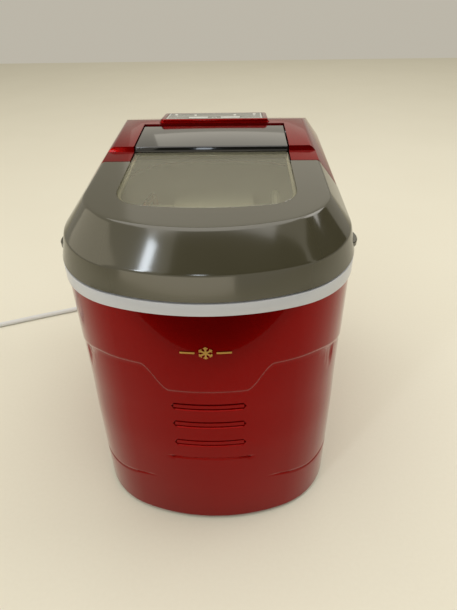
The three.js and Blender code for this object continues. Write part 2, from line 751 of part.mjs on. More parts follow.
const [FAN_X, FAN_Y, FAN_Z] = FAN_CENTRE;
part('condenser', condenser(), STEEL, 0.5, 0.8);
part('fan_shroud', cut(
  block(FAN_X - 42, FAN_X + 42, FAN_Y - 8, FAN_Y + 8, FAN_Z - 42, FAN_Z + 42),
  rod('y', [FAN_X, FAN_Z], 38, FAN_Y - 12, FAN_Y + 12, 32),
), BLACK, 0.6);
part('fan_blade', fanBlade(), BLACK, 0.5);
part('fan_motor', fanMotor(), STEEL, 0.4, 0.6);
part('discharge_pipe', tube([
  [COMPRESSOR[0] + 20, COMPRESSOR[1] + 10, 127], [-34, 92, 150], [-20, 110, 168], [0, 138, 172],
  [10, 149, 166], [10, 149, 151],
], 3, 26, 8), COPPER, 0.35, 0.9);
part('suction_pipe', tube([
  [COMPRESSOR[0] - 18, COMPRESSOR[1] - 12, 127], [-76, 62, 150], [-72, 44, 190], [...SUCTION_XY, 224],
  [...SUCTION_XY, 246], [-62, 16, 262], [-62, 2, 267], [-67, -14, 263], [-70, -24, 256], [-67, TRAY_Y, 250],
  [-61, TRAY_Y, 249], [-56.6, TRAY_Y, 249],
], 3, 40, 8), COPPER, 0.35, 0.9);
part('filter_drier', rod('z', [-2, 86], 8, 60, 118, 16), COPPER, 0.35, 0.9);
part('main_board', join(
  block(-40, 40, 16, 17.6, 150, 215),
  block(-30, -12, 17, 32, 165, 182),
  block(5, 30, 17, 27, 190, 205),
), GREEN, 0.6);

// ---------------------------------------------------------------- mains lead, coiled at the side
// Two flanges clip the sleeve into the rear panel; the rest tapers down onto the lead.
const RELIEF_LENGTH = 35.4;

function strainRelief() {
  const profile = [
    [0, 0], [8, 0], [8, 3], [5, 3], [5, 9.8], [8, 9.8], [7, 15], [4.4, RELIEF_LENGTH], [0, RELIEF_LENGTH],
  ];
  const [x, y, z] = CORD_EXIT;
  return turned(profile, [0, 0, 0], 16).rotateX(-Math.PI / 2).translate(x, y - RELIEF_LENGTH - GAP, z);
}

part('cord_strain_relief', strainRelief(), CORD_GREY, 0.6);

const heading = [Math.cos(CORD_HEADING), Math.sin(CORD_HEADING)];
const OUTER_TURN = COIL_MIDDLE_RADIUS + CORD_RADIUS;
const touch = [COIL_CENTRE[0] + OUTER_TURN * heading[1], COIL_CENTRE[1] - OUTER_TURN * heading[0]];
const along = (distance, z) => [touch[0] + distance * heading[0], touch[1] + distance * heading[1], z];
const CLEAR_OF_COIL = 27;

part('power_cord', tube([
  CORD_EXIT,
  [-55.5, 214, 35],
  [-60, 228, 28],
  [-71, 238, 17],
  [-88, 243, 8],
  [-108, 240.5, 4.2],
  [-132, 232, 3.7],
  [-160, 221, 3.6],
  [-200, 204, 3.6],
  [-238, 187, 3.6],
  along(-140, 3.6),
  along(-100, 3.6),
  along(-60, 3.6),
  along(-CLEAR_OF_COIL, 3.6),
], CORD_RADIUS, 44, 10), CORD_GREY, 0.5);

part('cord_coil', turned([
  [COIL_MIDDLE_RADIUS - 2 * CORD_RADIUS - GAP, 0.1],
  [COIL_MIDDLE_RADIUS + 2 * CORD_RADIUS + GAP, 0.1],
  [COIL_MIDDLE_RADIUS + 2 * CORD_RADIUS + GAP, 4 * CORD_RADIUS + 0.4],
  [COIL_MIDDLE_RADIUS - 2 * CORD_RADIUS - GAP, 4 * CORD_RADIUS + 0.4],
  [COIL_MIDDLE_RADIUS - 2 * CORD_RADIUS - GAP, 0.1],
], COIL_CENTRE, 32), CORD_GREY, 0.5);

const TAIL_LENGTH = 60;
const PLUG_Z = 11;
part('cord_tail', tube([
  along(CLEAR_OF_COIL, 10.5),
  along((CLEAR_OF_COIL + TAIL_LENGTH) / 2, 10.7),
  along(TAIL_LENGTH, PLUG_Z),
], CORD_RADIUS, 5, 10), CORD_GREY, 0.5);

// Moulded three-pin plug; its own frame has the pins along +X and the lead coming in from -X.
const squared = (value) => Math.sign(value) * Math.abs(value) ** 0.6;

function plug() {
  const section = (x, halfY, halfZ) => {
    const points = [];
    for (let i = 0; i < 16; i += 1) {
      const angle = 2 * Math.PI * i / 16;
      points.push([x, halfY * squared(Math.cos(angle)), halfZ * squared(Math.sin(angle))]);
    }
    return points;
  };
  const body = loft([
    section(0, 4.6, 4.6),
    section(16, 5.6, 5.4),
    section(22, 11, 9),
    section(30, 13.5, 10.6),
    section(42, 13.5, 10.6),
  ]);
  const pin = (y, z, turn) => new THREE.BoxGeometry(20, 1.6, 6.3).rotateX(turn).translate(51, y, z);
  const slant = Math.PI / 6;
  return join(body, pin(-6.9, 2.4, slant), pin(6.9, 2.4, -slant), pin(0, -5.6, 0));
}

const plugFrame = new THREE.Group();
plugFrame.position.set(...along(TAIL_LENGTH + GAP, PLUG_Z));
plugFrame.rotation.z = CORD_HEADING;
iceMaker.add(plugFrame);
part('power_plug', plug(), CORD_GREY, 0.5, 0, plugFrame);

export default iceMaker;
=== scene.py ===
# %% [markdown]
# # A counter-top ice maker
# The machine is a red lacquered cabinet with a pale ring round its top, a smoked lid with a clearer window,
# and a red rear cover that carries a small control pod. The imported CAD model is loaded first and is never
# moved: every mesh made here is laid over it, in the same frame, in metres.

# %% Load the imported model
import json
import math

import bmesh
import bpy
import numpy as np
from mathutils import Matrix, Vector


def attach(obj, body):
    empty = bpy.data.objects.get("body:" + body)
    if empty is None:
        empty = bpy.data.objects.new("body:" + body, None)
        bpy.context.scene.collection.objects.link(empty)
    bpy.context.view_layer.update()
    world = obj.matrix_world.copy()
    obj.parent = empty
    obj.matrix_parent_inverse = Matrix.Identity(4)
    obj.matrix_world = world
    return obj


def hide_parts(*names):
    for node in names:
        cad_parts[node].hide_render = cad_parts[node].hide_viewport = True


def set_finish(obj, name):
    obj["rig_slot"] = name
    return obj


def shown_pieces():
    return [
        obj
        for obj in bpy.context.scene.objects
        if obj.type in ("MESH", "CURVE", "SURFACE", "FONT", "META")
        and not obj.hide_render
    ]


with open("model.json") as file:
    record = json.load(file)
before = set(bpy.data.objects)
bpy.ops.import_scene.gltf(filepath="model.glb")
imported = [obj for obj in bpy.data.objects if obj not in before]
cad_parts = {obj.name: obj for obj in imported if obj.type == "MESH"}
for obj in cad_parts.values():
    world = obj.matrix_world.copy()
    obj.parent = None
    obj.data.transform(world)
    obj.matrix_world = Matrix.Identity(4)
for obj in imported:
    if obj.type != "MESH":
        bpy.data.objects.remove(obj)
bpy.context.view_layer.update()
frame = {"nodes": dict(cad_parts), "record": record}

MM = 0.001

# %% [markdown]
# ## Camera
# A camera is a lens and a pose. A hand-held picture taken over a worktop looks down steeply and is a little
# crooked, so yaw, pitch and roll are given as angles and turned into a matrix: its columns are the picture's
# right, its up, and the way back out of the lens. An Euler rotation would do too, but its order is easy to
# get wrong.

# %% Camera
LENS_MM = 28.3
CAMERA_AT = (24.9, -452.7, 447.6)
YAW, PITCH, ROLL = -0.026, 0.600, -0.0167


def make_camera():
    forward = Vector((math.sin(YAW) * math.cos(PITCH), math.cos(YAW) * math.cos(PITCH), -math.sin(PITCH)))
    level = Vector((math.cos(YAW), -math.sin(YAW), 0))
    upright = level.cross(forward)
    right = math.cos(ROLL) * level + math.sin(ROLL) * upright
    up = math.cos(ROLL) * upright - math.sin(ROLL) * level
    data = bpy.data.cameras.new("camera")
    data.lens = LENS_MM
    camera = bpy.data.objects.new("camera", data)
    bpy.context.scene.collection.objects.link(camera)
    turn = Matrix((right, up, -forward)).transposed().to_4x4()
    camera.matrix_world = Matrix.Translation(Vector(CAMERA_AT) * MM) @ turn
    bpy.context.scene.camera = camera
    return camera


camera = make_camera()
print("camera at", [round(v, 3) for v in camera.location])

# %% [markdown]
# ## Mains lead
# A lead is a fixed length of stiff, round PVC cable. It leaves the rear wall through a tapered sleeve, drops
# to the worktop, runs off to the left and is wound up there. A mesh tube or a curve would both work. A Bezier
# curve with automatic handles goes through every point I choose, stays smooth, and gets its thickness from
# one number. The coil's turns are a loop: two turns lie side by side on the worktop and two on top of them.

# %% Lead route
CORD_RADIUS = 3.5
CORD_EXIT = (-55, 201, 36)
COIL_CENTRE = (-396.5, 73.7)
COIL_MIDDLE_RADIUS = 42
CORD_HEADING = math.atan2(-43, -105)
CLEAR_OF_COIL = 27
TAIL_LENGTH = 60
PLUG_Z = 11
OUTER_TURN = COIL_MIDDLE_RADIUS + CORD_RADIUS
INNER_TURN = COIL_MIDDLE_RADIUS - CORD_RADIUS
FLOOR_LAYER = CORD_RADIUS + 0.1
heading = (math.cos(CORD_HEADING), math.sin(CORD_HEADING))
touch = (COIL_CENTRE[0] + OUTER_TURN * heading[1], COIL_CENTRE[1] - OUTER_TURN * heading[0])


def along_lead(distance, height):
    """A point on the straight line that touches the coil."""
    return (touch[0] + distance * heading[0], touch[1] + distance * heading[1], height)


def ease(value):
    value = min(max(value, 0), 1)
    return value * value * (3 - 2 * value)


def coil_points(turns=4, per_turn=16):
    """Turns in order: outer and inner on the worktop, then inner and outer one layer up."""
    start = math.atan2(touch[1] - COIL_CENTRE[1], touch[0] - COIL_CENTRE[0])
    stops = [(OUTER_TURN, 0), (INNER_TURN, 0), (INNER_TURN, 1), (OUTER_TURN, 1)]
    change = 0.2
    points = []
    for i in range(turns * per_turn + 1):
        turn = min(i / per_turn, turns - 1e-6)
        now = int(turn)
        after = min(now + 1, turns - 1)
        mix = ease((turn - now - (1 - change)) / change)
        radius = stops[now][0] + (stops[after][0] - stops[now][0]) * mix
        layer = stops[now][1] + (stops[after][1] - stops[now][1]) * mix
        angle = start + 2 * math.pi * i / per_turn
        height = FLOOR_LAYER + 2 * CORD_RADIUS * layer
        points.append((COIL_CENTRE[0] + radius * math.cos(angle),
                       COIL_CENTRE[1] + radius * math.sin(angle), height))
    return points


free_lead = [
    CORD_EXIT, (-55.5, 214, 35), (-60, 228, 28), (-71, 238, 17), (-88, 243, 8), (-108, 240.5, 4.2),
    (-132, 232, 3.7), (-160, 221, 3.6), (-200, 204, 3.6), (-238, 187, 3.6),
    along_lead(-140, 3.6), along_lead(-100, 3.6), along_lead(-60, 3.6), along_lead(-CLEAR_OF_COIL, 3.6),
]
tail = [
    along_lead(CLEAR_OF_COIL, 10.3),
    along_lead(TAIL_LENGTH * 0.72, 10.4),
    along_lead(TAIL_LENGTH + 1, PLUG_Z),
]
lead_route = free_lead + coil_points() + tail
print("lead points", len(lead_route))


# %% Lead curve
def link(piece):
    bpy.context.scene.collection.objects.link(piece)
    return piece


def make_lead():
    """The thickness is set on the points, because a curve's own box counts them and not the bevel."""
    data = bpy.data.curves.new("mains_lead", "CURVE")
    data.dimensions = "3D"
    data.bevel_depth = 1
    data.bevel_resolution = 4
    data.resolution_u = 6
    data.use_fill_caps = True
    spline = data.splines.new("BEZIER")
    spline.bezier_points.add(len(lead_route) - 1)
    for place, point in zip(lead_route, spline.bezier_points):
        point.co = Vector(place) * MM
        point.handle_left_type = "AUTO"
        point.handle_right_type = "AUTO"
        point.radius = CORD_RADIUS * MM
    return link(bpy.data.objects.new("mains_lead", data))


mains_lead = make_lead()
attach(mains_lead, "cabinet")
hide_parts("power_cord", "cord_coil", "cord_tail")
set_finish(mains_lead, "cord_grey")

# %% [markdown]
# ## Shape helpers
# Most of this machine is one plan outline pulled up through different heights: a bowed front, big round
# corners, straight sides and a bowed back. So the basic tool is a loft: rings with equal point counts are
# skinned with quads. Profiles are given as (inset, height) pairs, and their corners are rounded with a short
# Bezier, because a moulded edge always has a radius and that radius is what catches the light.

# %% Plan outlines
HALF_WIDTH = 119
HALF_DEPTH = 179
CABINET = dict(half=HALF_WIDTH, front=-HALF_DEPTH, front_radius=191, front_corner=77,
               rear=HALF_DEPTH, rear_radius=380, rear_corner=77)


def outline(plan, inset=0.0, arc_steps=14, corner_steps=18):
    """One closed ring of (x, y) points, anticlockwise from the middle of the front."""
    half = plan["half"] - inset
    right = []

    def arc(cx, cy, radius, start, end, steps, first=0):
        for i in range(first, steps + 1):
            angle = start + (end - start) * i / steps
            right.append((cx + radius * math.cos(angle), cy + radius * math.sin(angle)))

    big, small = plan["front_radius"] - inset, max(plan["front_corner"] - inset, 0.5)
    front = plan["front"] + inset
    turn = math.asin((half - small) / (big - small))
    corner_y = front + big - (big - small) * math.cos(turn)
    quarter = math.pi / 2
    arc(0, front + big, big, -quarter, -quarter + turn, arc_steps)
    arc(half - small, corner_y, small, -quarter + turn, 0, corner_steps, 1)
    big, small = plan["rear_radius"] - inset, max(plan["rear_corner"] - inset, 0.5)
    rear = plan["rear"] - inset
    turn = math.asin((half - small) / (big - small))
    corner_y = rear - big + (big - small) * math.cos(turn)
    arc(half - small, corner_y, small, 0, quarter - turn, corner_steps)
    arc(0, rear - big, big, quarter - turn, quarter, arc_steps, 1)
    left = [(-x, y) for x, y in reversed(right[1:-1])]
    return right + left


def ring(plan, inset, height, **steps):
    if not callable(height):
        level = height
        height = lambda y: level
    return [(x, y, height(y)) for x, y in outline(plan, inset, **steps)]


# %% Lofts and rounded profiles
def mesh_piece(name, vertices, faces):
    """A new object from millimetre vertices, smooth except where faces meet at a real edge."""
    data = bpy.data.meshes.new(name)
    data.from_pydata([(x * MM, y * MM, z * MM) for x, y, z in vertices], [], faces)
    data.validate()
    return smooth(link(bpy.data.objects.new(name, data)))


def smooth(piece, degrees=24):
    piece.data.polygons.foreach_set("use_smooth", [True] * len(piece.data.polygons))
    piece.data.set_sharp_from_angle(angle=math.radians(degrees))
    return piece


def loft(name, rings, closed=False):
    count = len(rings[0])
    vertices = [point for each in rings for point in each]
    faces = []
    for i in range(len(rings) if closed else len(rings) - 1):
        low, high = i * count, (i + 1) % len(rings) * count
        for j in range(count):
            k = (j + 1) % count
            faces.append((low + j, low + k, high + k, high + j))
    if not closed:
        faces.append(tuple(range(count - 1, -1, -1)))
        faces.append(tuple(range((len(rings) - 1) * count, len(rings) * count)))
    return mesh_piece(name, vertices, faces)


def rounded(profile, radii, steps=4):
    """Rounds the corners of [(inset, height), ...]; a radius of 0 leaves a corner alone.
    Heights may be functions of y, so a tilted lid works the same way as a level one."""
    lift = [h if callable(h) else (lambda y, level=h: level) for _, h in profile]
    result = []
    for i, (inset, _) in enumerate(profile):
        if radii[i] == 0:
            result.append((inset, lift[i]))
            continue
        ends = []
        for j in (i - 1, (i + 1) % len(profile)):
            span = math.hypot(profile[j][0] - inset, lift[j](0) - lift[i](0))
            ends.append((j, min(radii[i] / span, 0.49)))
        (before, a), (after, b) = ends
        for k in range(steps + 1):
            t = k / steps
            wa, wb = (1 - t) ** 2 * a, t ** 2 * b
            rest = 1 - wa - wb
            place = wa * profile[before][0] + wb * profile[after][0] + rest * inset
            mixed = (lambda y, w=(wa, rest, wb), f=(lift[before], lift[i], lift[after]):
                     w[0] * f[0](y) + w[1] * f[1](y) + w[2] * f[2](y))
            result.append((place, mixed))
    return result


def loft_profile(name, plan, profile, closed=False, **steps):
    return loft(name, [ring(plan, inset, height, **steps) for inset, height in profile], closed)


# %% Solid tools for cutting
def bake_modifiers(piece):
    graph = bpy.context.evaluated_depsgraph_get()
    baked = bpy.data.meshes.new_from_object(piece.evaluated_get(graph))
    piece.modifiers.clear()
    piece.data = baked
    return piece


def carve(piece, *tools, operation="DIFFERENCE"):
    """Cuts (or joins) tools into a piece and removes the tools."""
    for tool in tools:
        step = piece.modifiers.new("carve", "BOOLEAN")
        step.operation = operation
        step.solver = "EXACT"
        step.object = tool
        bake_modifiers(piece)
        bpy.data.objects.remove(tool)
    return smooth(piece)


def soften(piece, width, segments=3, degrees=30):
    """Rounds every edge sharper than the given angle."""
    step = piece.modifiers.new("soften", "BEVEL")
    step.width = width * MM
    step.segments = segments
    step.limit_method = "ANGLE"
    step.angle_limit = math.radians(degrees)
    step.harden_normals = False
    bake_modifiers(piece)
    return smooth(piece, 40)


def join(name, pieces):
    """Puts several meshes into one object, each keeping its own faces."""
    work = bmesh.new()
    for piece in pieces:
        work.from_mesh(piece.data)
        bpy.data.objects.remove(piece)
    data = bpy.data.meshes.new(name)
    work.to_mesh(data)
    work.free()
    return link(bpy.data.objects.new(name, data))


def slab(name, x_range, y_range, z_range):
    (x0, x1), (y0, y1), (z0, z1) = x_range, y_range, z_range
    corners = [(x, y, z) for z in (z0, z1) for x, y in ((x0, y0), (x1, y0), (x1, y1), (x0, y1))]
    faces = [(3, 2, 1, 0), (4, 5, 6, 7), (0, 1, 5, 4), (1, 2, 6, 5), (2, 3, 7, 6), (3, 0, 4, 7)]
    return mesh_piece(name, corners, faces)


def side_profile(name, points, x0, x1):
    """A closed outline of (y, z) points, anticlockwise seen from +X, pulled from x0 to x1."""
    count = len(points)
    vertices = [(x, y, z) for x in (x0, x1) for y, z in points]
    faces = [tuple(range(count - 1, -1, -1)), tuple(range(count, 2 * count))]
    for j in range(count):
        k = (j + 1) % count
        faces.append((j, k, count + k, count + j))
    return mesh_piece(name, vertices, faces)


def turned(name, profile, centre=(0, 0, 0), axis="z", sides=48):
    """A lathe piece from (radius, height) pairs that start and end on the axis, or a closed loop."""
    on_axis = profile[0][0] == 0
    rings = []
    for radius, height in profile:
        row = []
        for j in range(sides):
            angle = 2 * math.pi * j / sides
            u, v = max(radius, 0.001) * math.cos(angle), max(radius, 0.001) * math.sin(angle)
            place = {"z": (u, v, height), "y": (v, height, u), "x": (height, u, v)}[axis]
            row.append(tuple(p + c for p, c in zip(place, centre)))
        rings.append(row)
    return loft(name, rings, closed=not on_axis)


# %% [markdown]
# ## Cabinet shell
# The cabinet is one injection-moulded, lacquered shell. Its front has a slightly sunk belt, three vent
# recesses with two thin slits and a rib between them, and shallow grooves below. Sculpting by hand would not
# be repeatable, and booleans leave hard edges, so the shell is a fine grid of stations (round the plan) and
# levels (up the wall) that is pushed in and out by a relief formula. The levels bend to run along the belt's
# edge, which keeps that edge clean. The slits and the side louvres are real holes: the grid has lines exactly
# on their edges, and the quads between them are left out.

# %% Cabinet measures
BODY_INSET = 1.5
WALL = 2.5
BODY_LOW, BODY_HIGH = 5, 249.7
BELT_SINK = 0.8
BELT_EDGE = 1.2
BELT_TOP, BELT_CLIMB, BELT_SAG = 174.4, 24.6, 12
VENT_LEVELS = (156.5, 135.7, 113)
VENT_HALF, VENT_POINT = 31.2, 2.4
VENT_DEPTH = 1.7
RIB_EDGE, RIB_FOOT, GROOVE_EDGE, VENT_EDGE = 1.6, 2.3, 3.0, 3.9
SLIT_HALF = 28.5
GROOVE_DEPTH, GROOVE_HALF = 0.8, 1.7
LOW_GROOVE = 92.8
DENT_FOOT, DENT_DEPTH = 172, 1.2
LOUVRE_Y = (20, 92)
LOUVRE_LEVELS = [62 + 11 * i for i in range(7)]
LOUVRE_HEIGHT = 3.2
PANEL_HALF, PANEL_LOW, PANEL_HIGH = 75, 22, 236


def step(low, high, value):
    return ease((value - low) / (high - low))


def belt_top(s):
    """Height of the belt's upper edge: low in the middle, climbing in an S, then sagging round the side."""
    s = abs(s)
    return BELT_TOP + BELT_CLIMB * step(31, 54, s) - BELT_SAG * step(85, 150, s)


def bent_level(s, level):
    """Moves the grid's levels so that they run along the belt's edge; the vents and the rear stay level."""
    return level + (belt_top(s) - BELT_TOP) * step(162, 173, level) * (1 - step(176, 234, level))


def belt_relief(level):
    """The belt is sunk, and the ledge over it faces down, so it catches light off the worktop."""
    return -BELT_SINK * (1 - step(-BELT_EDGE, BELT_EDGE, level - BELT_TOP)) * step(100, 150, level)


def vent_relief(s, z):
    """A recess with a rib in the middle and pointed ends."""
    for level in VENT_LEVELS:
        off, left = abs(z - level), VENT_HALF - abs(s)
        narrow = min(1, left / VENT_POINT)
        if left <= 0 or off > VENT_EDGE * narrow:
            continue
        inside = 1 - step(GROOVE_EDGE * narrow, VENT_EDGE * narrow, off)
        rib = (1 - step(RIB_EDGE, RIB_FOOT, off)) * step(0.6, 1.8, left)
        return -VENT_DEPTH * inside * (1 - 0.85 * rib)
    return 0


def groove_relief(s, z):
    """Two shallow V grooves: a short one under the vents and a low one that runs round the sides."""
    s = abs(s)
    middle = max(0, 1 - abs(z - LOW_GROOVE) / GROOVE_HALF) * (1 - step(32, 41, s))
    low_line = 59 - 9 * step(52, 110, s)
    side = max(0, 1 - abs(z - low_line) / GROOVE_HALF) * step(50, 70, s)
    return -GROOVE_DEPTH * (middle + side)


def dent_relief(s, z):
    """Small three-cornered dent where the belt turns the corner."""
    s, top = abs(s), belt_top(s) - 1.5
    up = (z - DENT_FOOT) / (top - DENT_FOOT)
    if not 0 < up < 1:
        return 0
    across = step(115 - 15 * up, 118 - 15 * up, s) * (1 - step(116, 119, s))
    return -DENT_DEPTH * across * step(0, 0.15, 1 - up)


def relief(s, level):
    z = bent_level(s, level)
    return belt_relief(level) + vent_relief(s, z) + groove_relief(s, z) + dent_relief(s, z)


# %% Walking round the plan
def walk(plan, inset):
    """Dense outline with the signed distance of each point from the middle of the front."""
    points = np.array(outline(plan, inset, arc_steps=90, corner_steps=120))
    half = len(points) // 2
    right = points[:half + 1]
    length = np.concatenate([[0], np.cumsum(np.hypot(*np.diff(right, axis=0).T))])
    return right, length


def station_points(plan, inset, stations):
    """(x, y) and outward (nx, ny) at signed distances round the plan, which may run on past the rear."""
    right, length = walk(plan, inset)
    placed = []
    for s in stations:
        s = s - 2 * length[-1] if s > length[-1] + 1e-6 else s
        distance = abs(s)
        x = np.interp(distance, length, right[:, 0])
        y = np.interp(distance, length, right[:, 1])
        probe = 0.4
        ahead = [np.interp(min(distance + probe, length[-1]), length, right[:, k]) for k in (0, 1)]
        back = [np.interp(max(distance - probe, 0), length, right[:, k]) for k in (0, 1)]
        tx, ty = ahead[0] - back[0], ahead[1] - back[1]
        size = math.hypot(tx, ty)
        side = 1 if s >= 0 else -1
        placed.append((side * x, y, side * ty / size, -tx / size))
    return placed


def distance_at(plan, inset, y=None, x=None):
    """Distance from the front's middle to where the side reaches y, or the rear reaches x."""
    right, length = walk(plan, inset)
    if y is not None:
        keep = right[:, 0] > plan["half"] - inset - 0.01
        spots, where = right[keep][:, 1], length[keep]
        low, high = int(np.argmin(spots)), int(np.argmax(spots))
        return float(np.interp(y, [spots[low], spots[high]], [where[low], where[high]]))
    rear = right[:, 1] > 0
    return float(np.interp(-x, -right[rear][:, 0], length[rear]))


def spaced(marks, spacing):
    """Numbers that hit every mark, with even gaps no wider than the spacing between them."""
    result = []
    for low, high in zip(marks, marks[1:]):
        count = max(1, math.ceil((high - low) / spacing(0.5 * (low + high))))
        result += [low + (high - low) * i / count for i in range(count)]
    return result + [marks[-1]]


def straight(s, level):
    return level


def grid_shell(name, stations, levels, skip, push, bend=straight):
    """A wall round the cabinet plan: skip leaves out quads, push moves points out, bend moves them up."""
    placed = station_points(CABINET, BODY_INSET, stations)
    vertices = []
    for z in levels:
        for s, (x, y, nx, ny) in zip(stations, placed):
            out = push(s, z)
            vertices.append((x + nx * out, y + ny * out, bend(s, z)))
    width = len(stations)
    faces = []
    for i in range(len(levels) - 1):
        for j in range(width - 1):
            s, z = 0.5 * (stations[j] + stations[j + 1]), 0.5 * (levels[i] + levels[i + 1])
            if not skip(s, z):
                a = i * width + j
                faces.append((a, a + 1, a + width + 1, a + width))
    piece = mesh_piece(name, vertices, faces)
    work = bmesh.new()
    work.from_mesh(piece.data)
    bmesh.ops.remove_doubles(work, verts=work.verts, dist=1e-6)
    bmesh.ops.delete(work, geom=[v for v in work.verts if not v.link_faces], context="VERTS")
    work.to_mesh(piece.data)
    work.free()
    skin = piece.modifiers.new("wall", "SOLIDIFY")
    skin.thickness = WALL * MM
    skin.offset = -1
    return smooth(bake_modifiers(piece), 30)


# %% Cabinet shell
def make_cabinet_shell():
    end = walk(CABINET, BODY_INSET)[1][-1]
    louvre = [distance_at(CABINET, BODY_INSET, y=y) for y in LOUVRE_Y]
    opening = distance_at(CABINET, BODY_INSET, x=PANEL_HALF)
    marks = [0, 26, 34, 75, 105, 136, 160] + louvre + [opening, end]
    right = spaced(marks, lambda s: 0.5 if 26 < s < 34 else 1.6 if s < 75 or 105 < s < 136 else 5)
    stations = [-s for s in reversed(right[1:])] + right
    louvre_marks = {z + d for z in LOUVRE_LEVELS for d in (0, LOUVRE_HEIGHT)}
    vent_marks = {z + side * edge for z in VENT_LEVELS for side in (-1, 1)
                  for edge in (RIB_EDGE, RIB_FOOT, GROOVE_EDGE, VENT_EDGE)}
    edge_marks = {BELT_TOP + BELT_EDGE * i / 2 for i in (-2, -1, 0, 1, 2)}
    groove_marks = {LOW_GROOVE + GROOVE_HALF * i / 3 for i in range(-3, 4)}
    level_marks = sorted({BODY_LOW, PANEL_LOW, 48, 62, 162, 180, PANEL_HIGH, BODY_HIGH}
                         | louvre_marks | vent_marks | edge_marks | groove_marks)

    def spacing(z):
        near_vent = any(abs(z - level) < VENT_EDGE for level in VENT_LEVELS)
        return 0.4 if near_vent or 48 < z < 62 else 2 if 120 < z < 200 else 8

    levels = spaced(level_marks, spacing)

    def skip(s, z):
        s = abs(s)
        in_rear = s > opening and PANEL_LOW < z < PANEL_HIGH
        in_louvre = louvre[0] < s < louvre[1] and any(0 < z - low < LOUVRE_HEIGHT for low in LOUVRE_LEVELS)
        in_slit = s < SLIT_HALF and any(RIB_FOOT < abs(z - level) < GROOVE_EDGE for level in VENT_LEVELS)
        return in_rear or in_louvre or in_slit

    return grid_shell("cabinet_shell", stations, levels, skip, relief, bent_level)


cabinet_shell = make_cabinet_shell()
DRAIN_Y, DRAIN_Z = -62, 34
drain_hole = turned("drain_hole", [(0, 105), (13, 105), (13, 125), (0, 125)], (0, DRAIN_Y, DRAIN_Z), "x")
carve(cabinet_shell, drain_hole)
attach(cabinet_shell, "cabinet")
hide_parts("body_shell")
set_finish(cabinet_shell, "red_metallic")
print("cabinet shell faces", len(cabinet_shell.data.polygons))

# %% [markdown]
# ## Rear grille
# The rear wall lifts out for service and lets the fan blow through, so it is its own piece with a flat border
# and a field of slots. The same grid tool makes it; only the plan stations and the holes differ.

# %% Rear grille
GRILLE_LEVELS = [66 + 12 * i for i in range(9)]
GRILLE_HEIGHT = 4.5
GRILLE_HALF = 58


def make_rear_grille():
    end = walk(CABINET, BODY_INSET)[1][-1]
    edge = distance_at(CABINET, BODY_INSET, x=PANEL_HALF - 0.5)
    slot_end = distance_at(CABINET, BODY_INSET, x=GRILLE_HALF)
    bars = [distance_at(CABINET, BODY_INSET, x=x) for x in (20.5, 17.5)]
    half = spaced([edge, edge + 4, slot_end] + bars + [end], lambda s: 4)
    stations = half + [2 * end - s for s in reversed(half[:-1])]
    levels = spaced(sorted({PANEL_LOW + 0.5, PANEL_LOW + 5, PANEL_HIGH - 5, PANEL_HIGH - 0.5,
                            *[z + d for z in GRILLE_LEVELS for d in (0, GRILLE_HEIGHT)]}), lambda z: 6)

    def skip(s, z):
        near = end - abs(end - s)
        in_bar = bars[0] < near < bars[1]
        return near > slot_end and not in_bar and any(0 < z - low < GRILLE_HEIGHT for low in GRILLE_LEVELS)

    def push(s, z):
        near = end - abs(end - s)
        border = min(near - edge, z - PANEL_LOW, PANEL_HIGH - z)
        return 0.6 * step(3, 6, border)

    return grid_shell("rear_grille", stations, levels, skip, push)


rear_grille = make_rear_grille()
carve(rear_grille, turned("cord_hole", [(0, 150), (5.4, 150), (5.4, 185), (0, 185)],
                          (CORD_EXIT[0], 0, CORD_EXIT[2]), "y", 24))
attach(rear_grille, "cabinet")
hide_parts("rear_panel")
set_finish(rear_grille, "red_metallic")

# %% [markdown]
# ## Trim ring
# A pale ring sits between cabinet and lid and hides the joint. Its lower edge is level and its upper edge
# follows the tilted lid, so it is a wedge that grows towards the back. Its outer edges are rounded in the
# profile itself.

# %% Trim ring
RING_LOW = 250
RING_WIDTH = 11
RING_GAP = 1.8
LID_SLOPE = 0.0625
RIDGE_INSET, FLAT_INSET = 4.4, 24


def tilted(height, inset):
    """A height that rises towards the back at the lid's slope, given where the outline's front is."""
    return lambda y: height + LID_SLOPE * (y + HALF_DEPTH - inset)


lid_edge = tilted(262, 0)
lid_ridge = tilted(281, RIDGE_INSET)
lid_top = tilted(307, FLAT_INSET)


def raised(height, by):
    return lambda y: height(y) + by


ring_top = raised(lid_edge, -RING_GAP)
ring_profile = [(0, RING_LOW), (0, ring_top), (RING_WIDTH, ring_top), (RING_WIDTH, RING_LOW)]
trim_band = loft_profile("trim_band", CABINET, rounded(ring_profile, [1.2, 0.9, 0.9, 0.9]), closed=True)
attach(trim_band, "cabinet")
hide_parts("trim_ring")
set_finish(trim_band, "ring_white")

# %% [markdown]
# ## Lid
# The lid is a smoked, polished moulding: a steep rim, a ridge, a long chamfer and a flat top with the window
# let into it. The ridge and the flat's edge carry the thin highlights that make plastic look moulded, so both
# are rounded in the loft. Window opening, seam and tongue are cut and joined with exact booleans, which are
# safe here because they meet flat faces.

# %% Lid dome
SEAM_Y, SEAM_GAP = -34, 1
STEP_Y, STEP_HEIGHT = -11, 4.4
LID_SKIN, LEDGE = 5.5, 2.6
TONGUE_HALF, SLOT_HALF = 69.7, 71
HINGE_Y, BARREL_RADIUS = 46, 7.96
BORE_RADIUS, BORE_DEPTH = 3.3, 17
HINGE_Z = lid_top(HINGE_Y) + STEP_HEIGHT - BARREL_RADIUS
WINDOW = dict(half=70, front=-124, front_radius=260, front_corner=26,
              rear=STEP_Y - 1.5, rear_radius=9000, rear_corner=3)


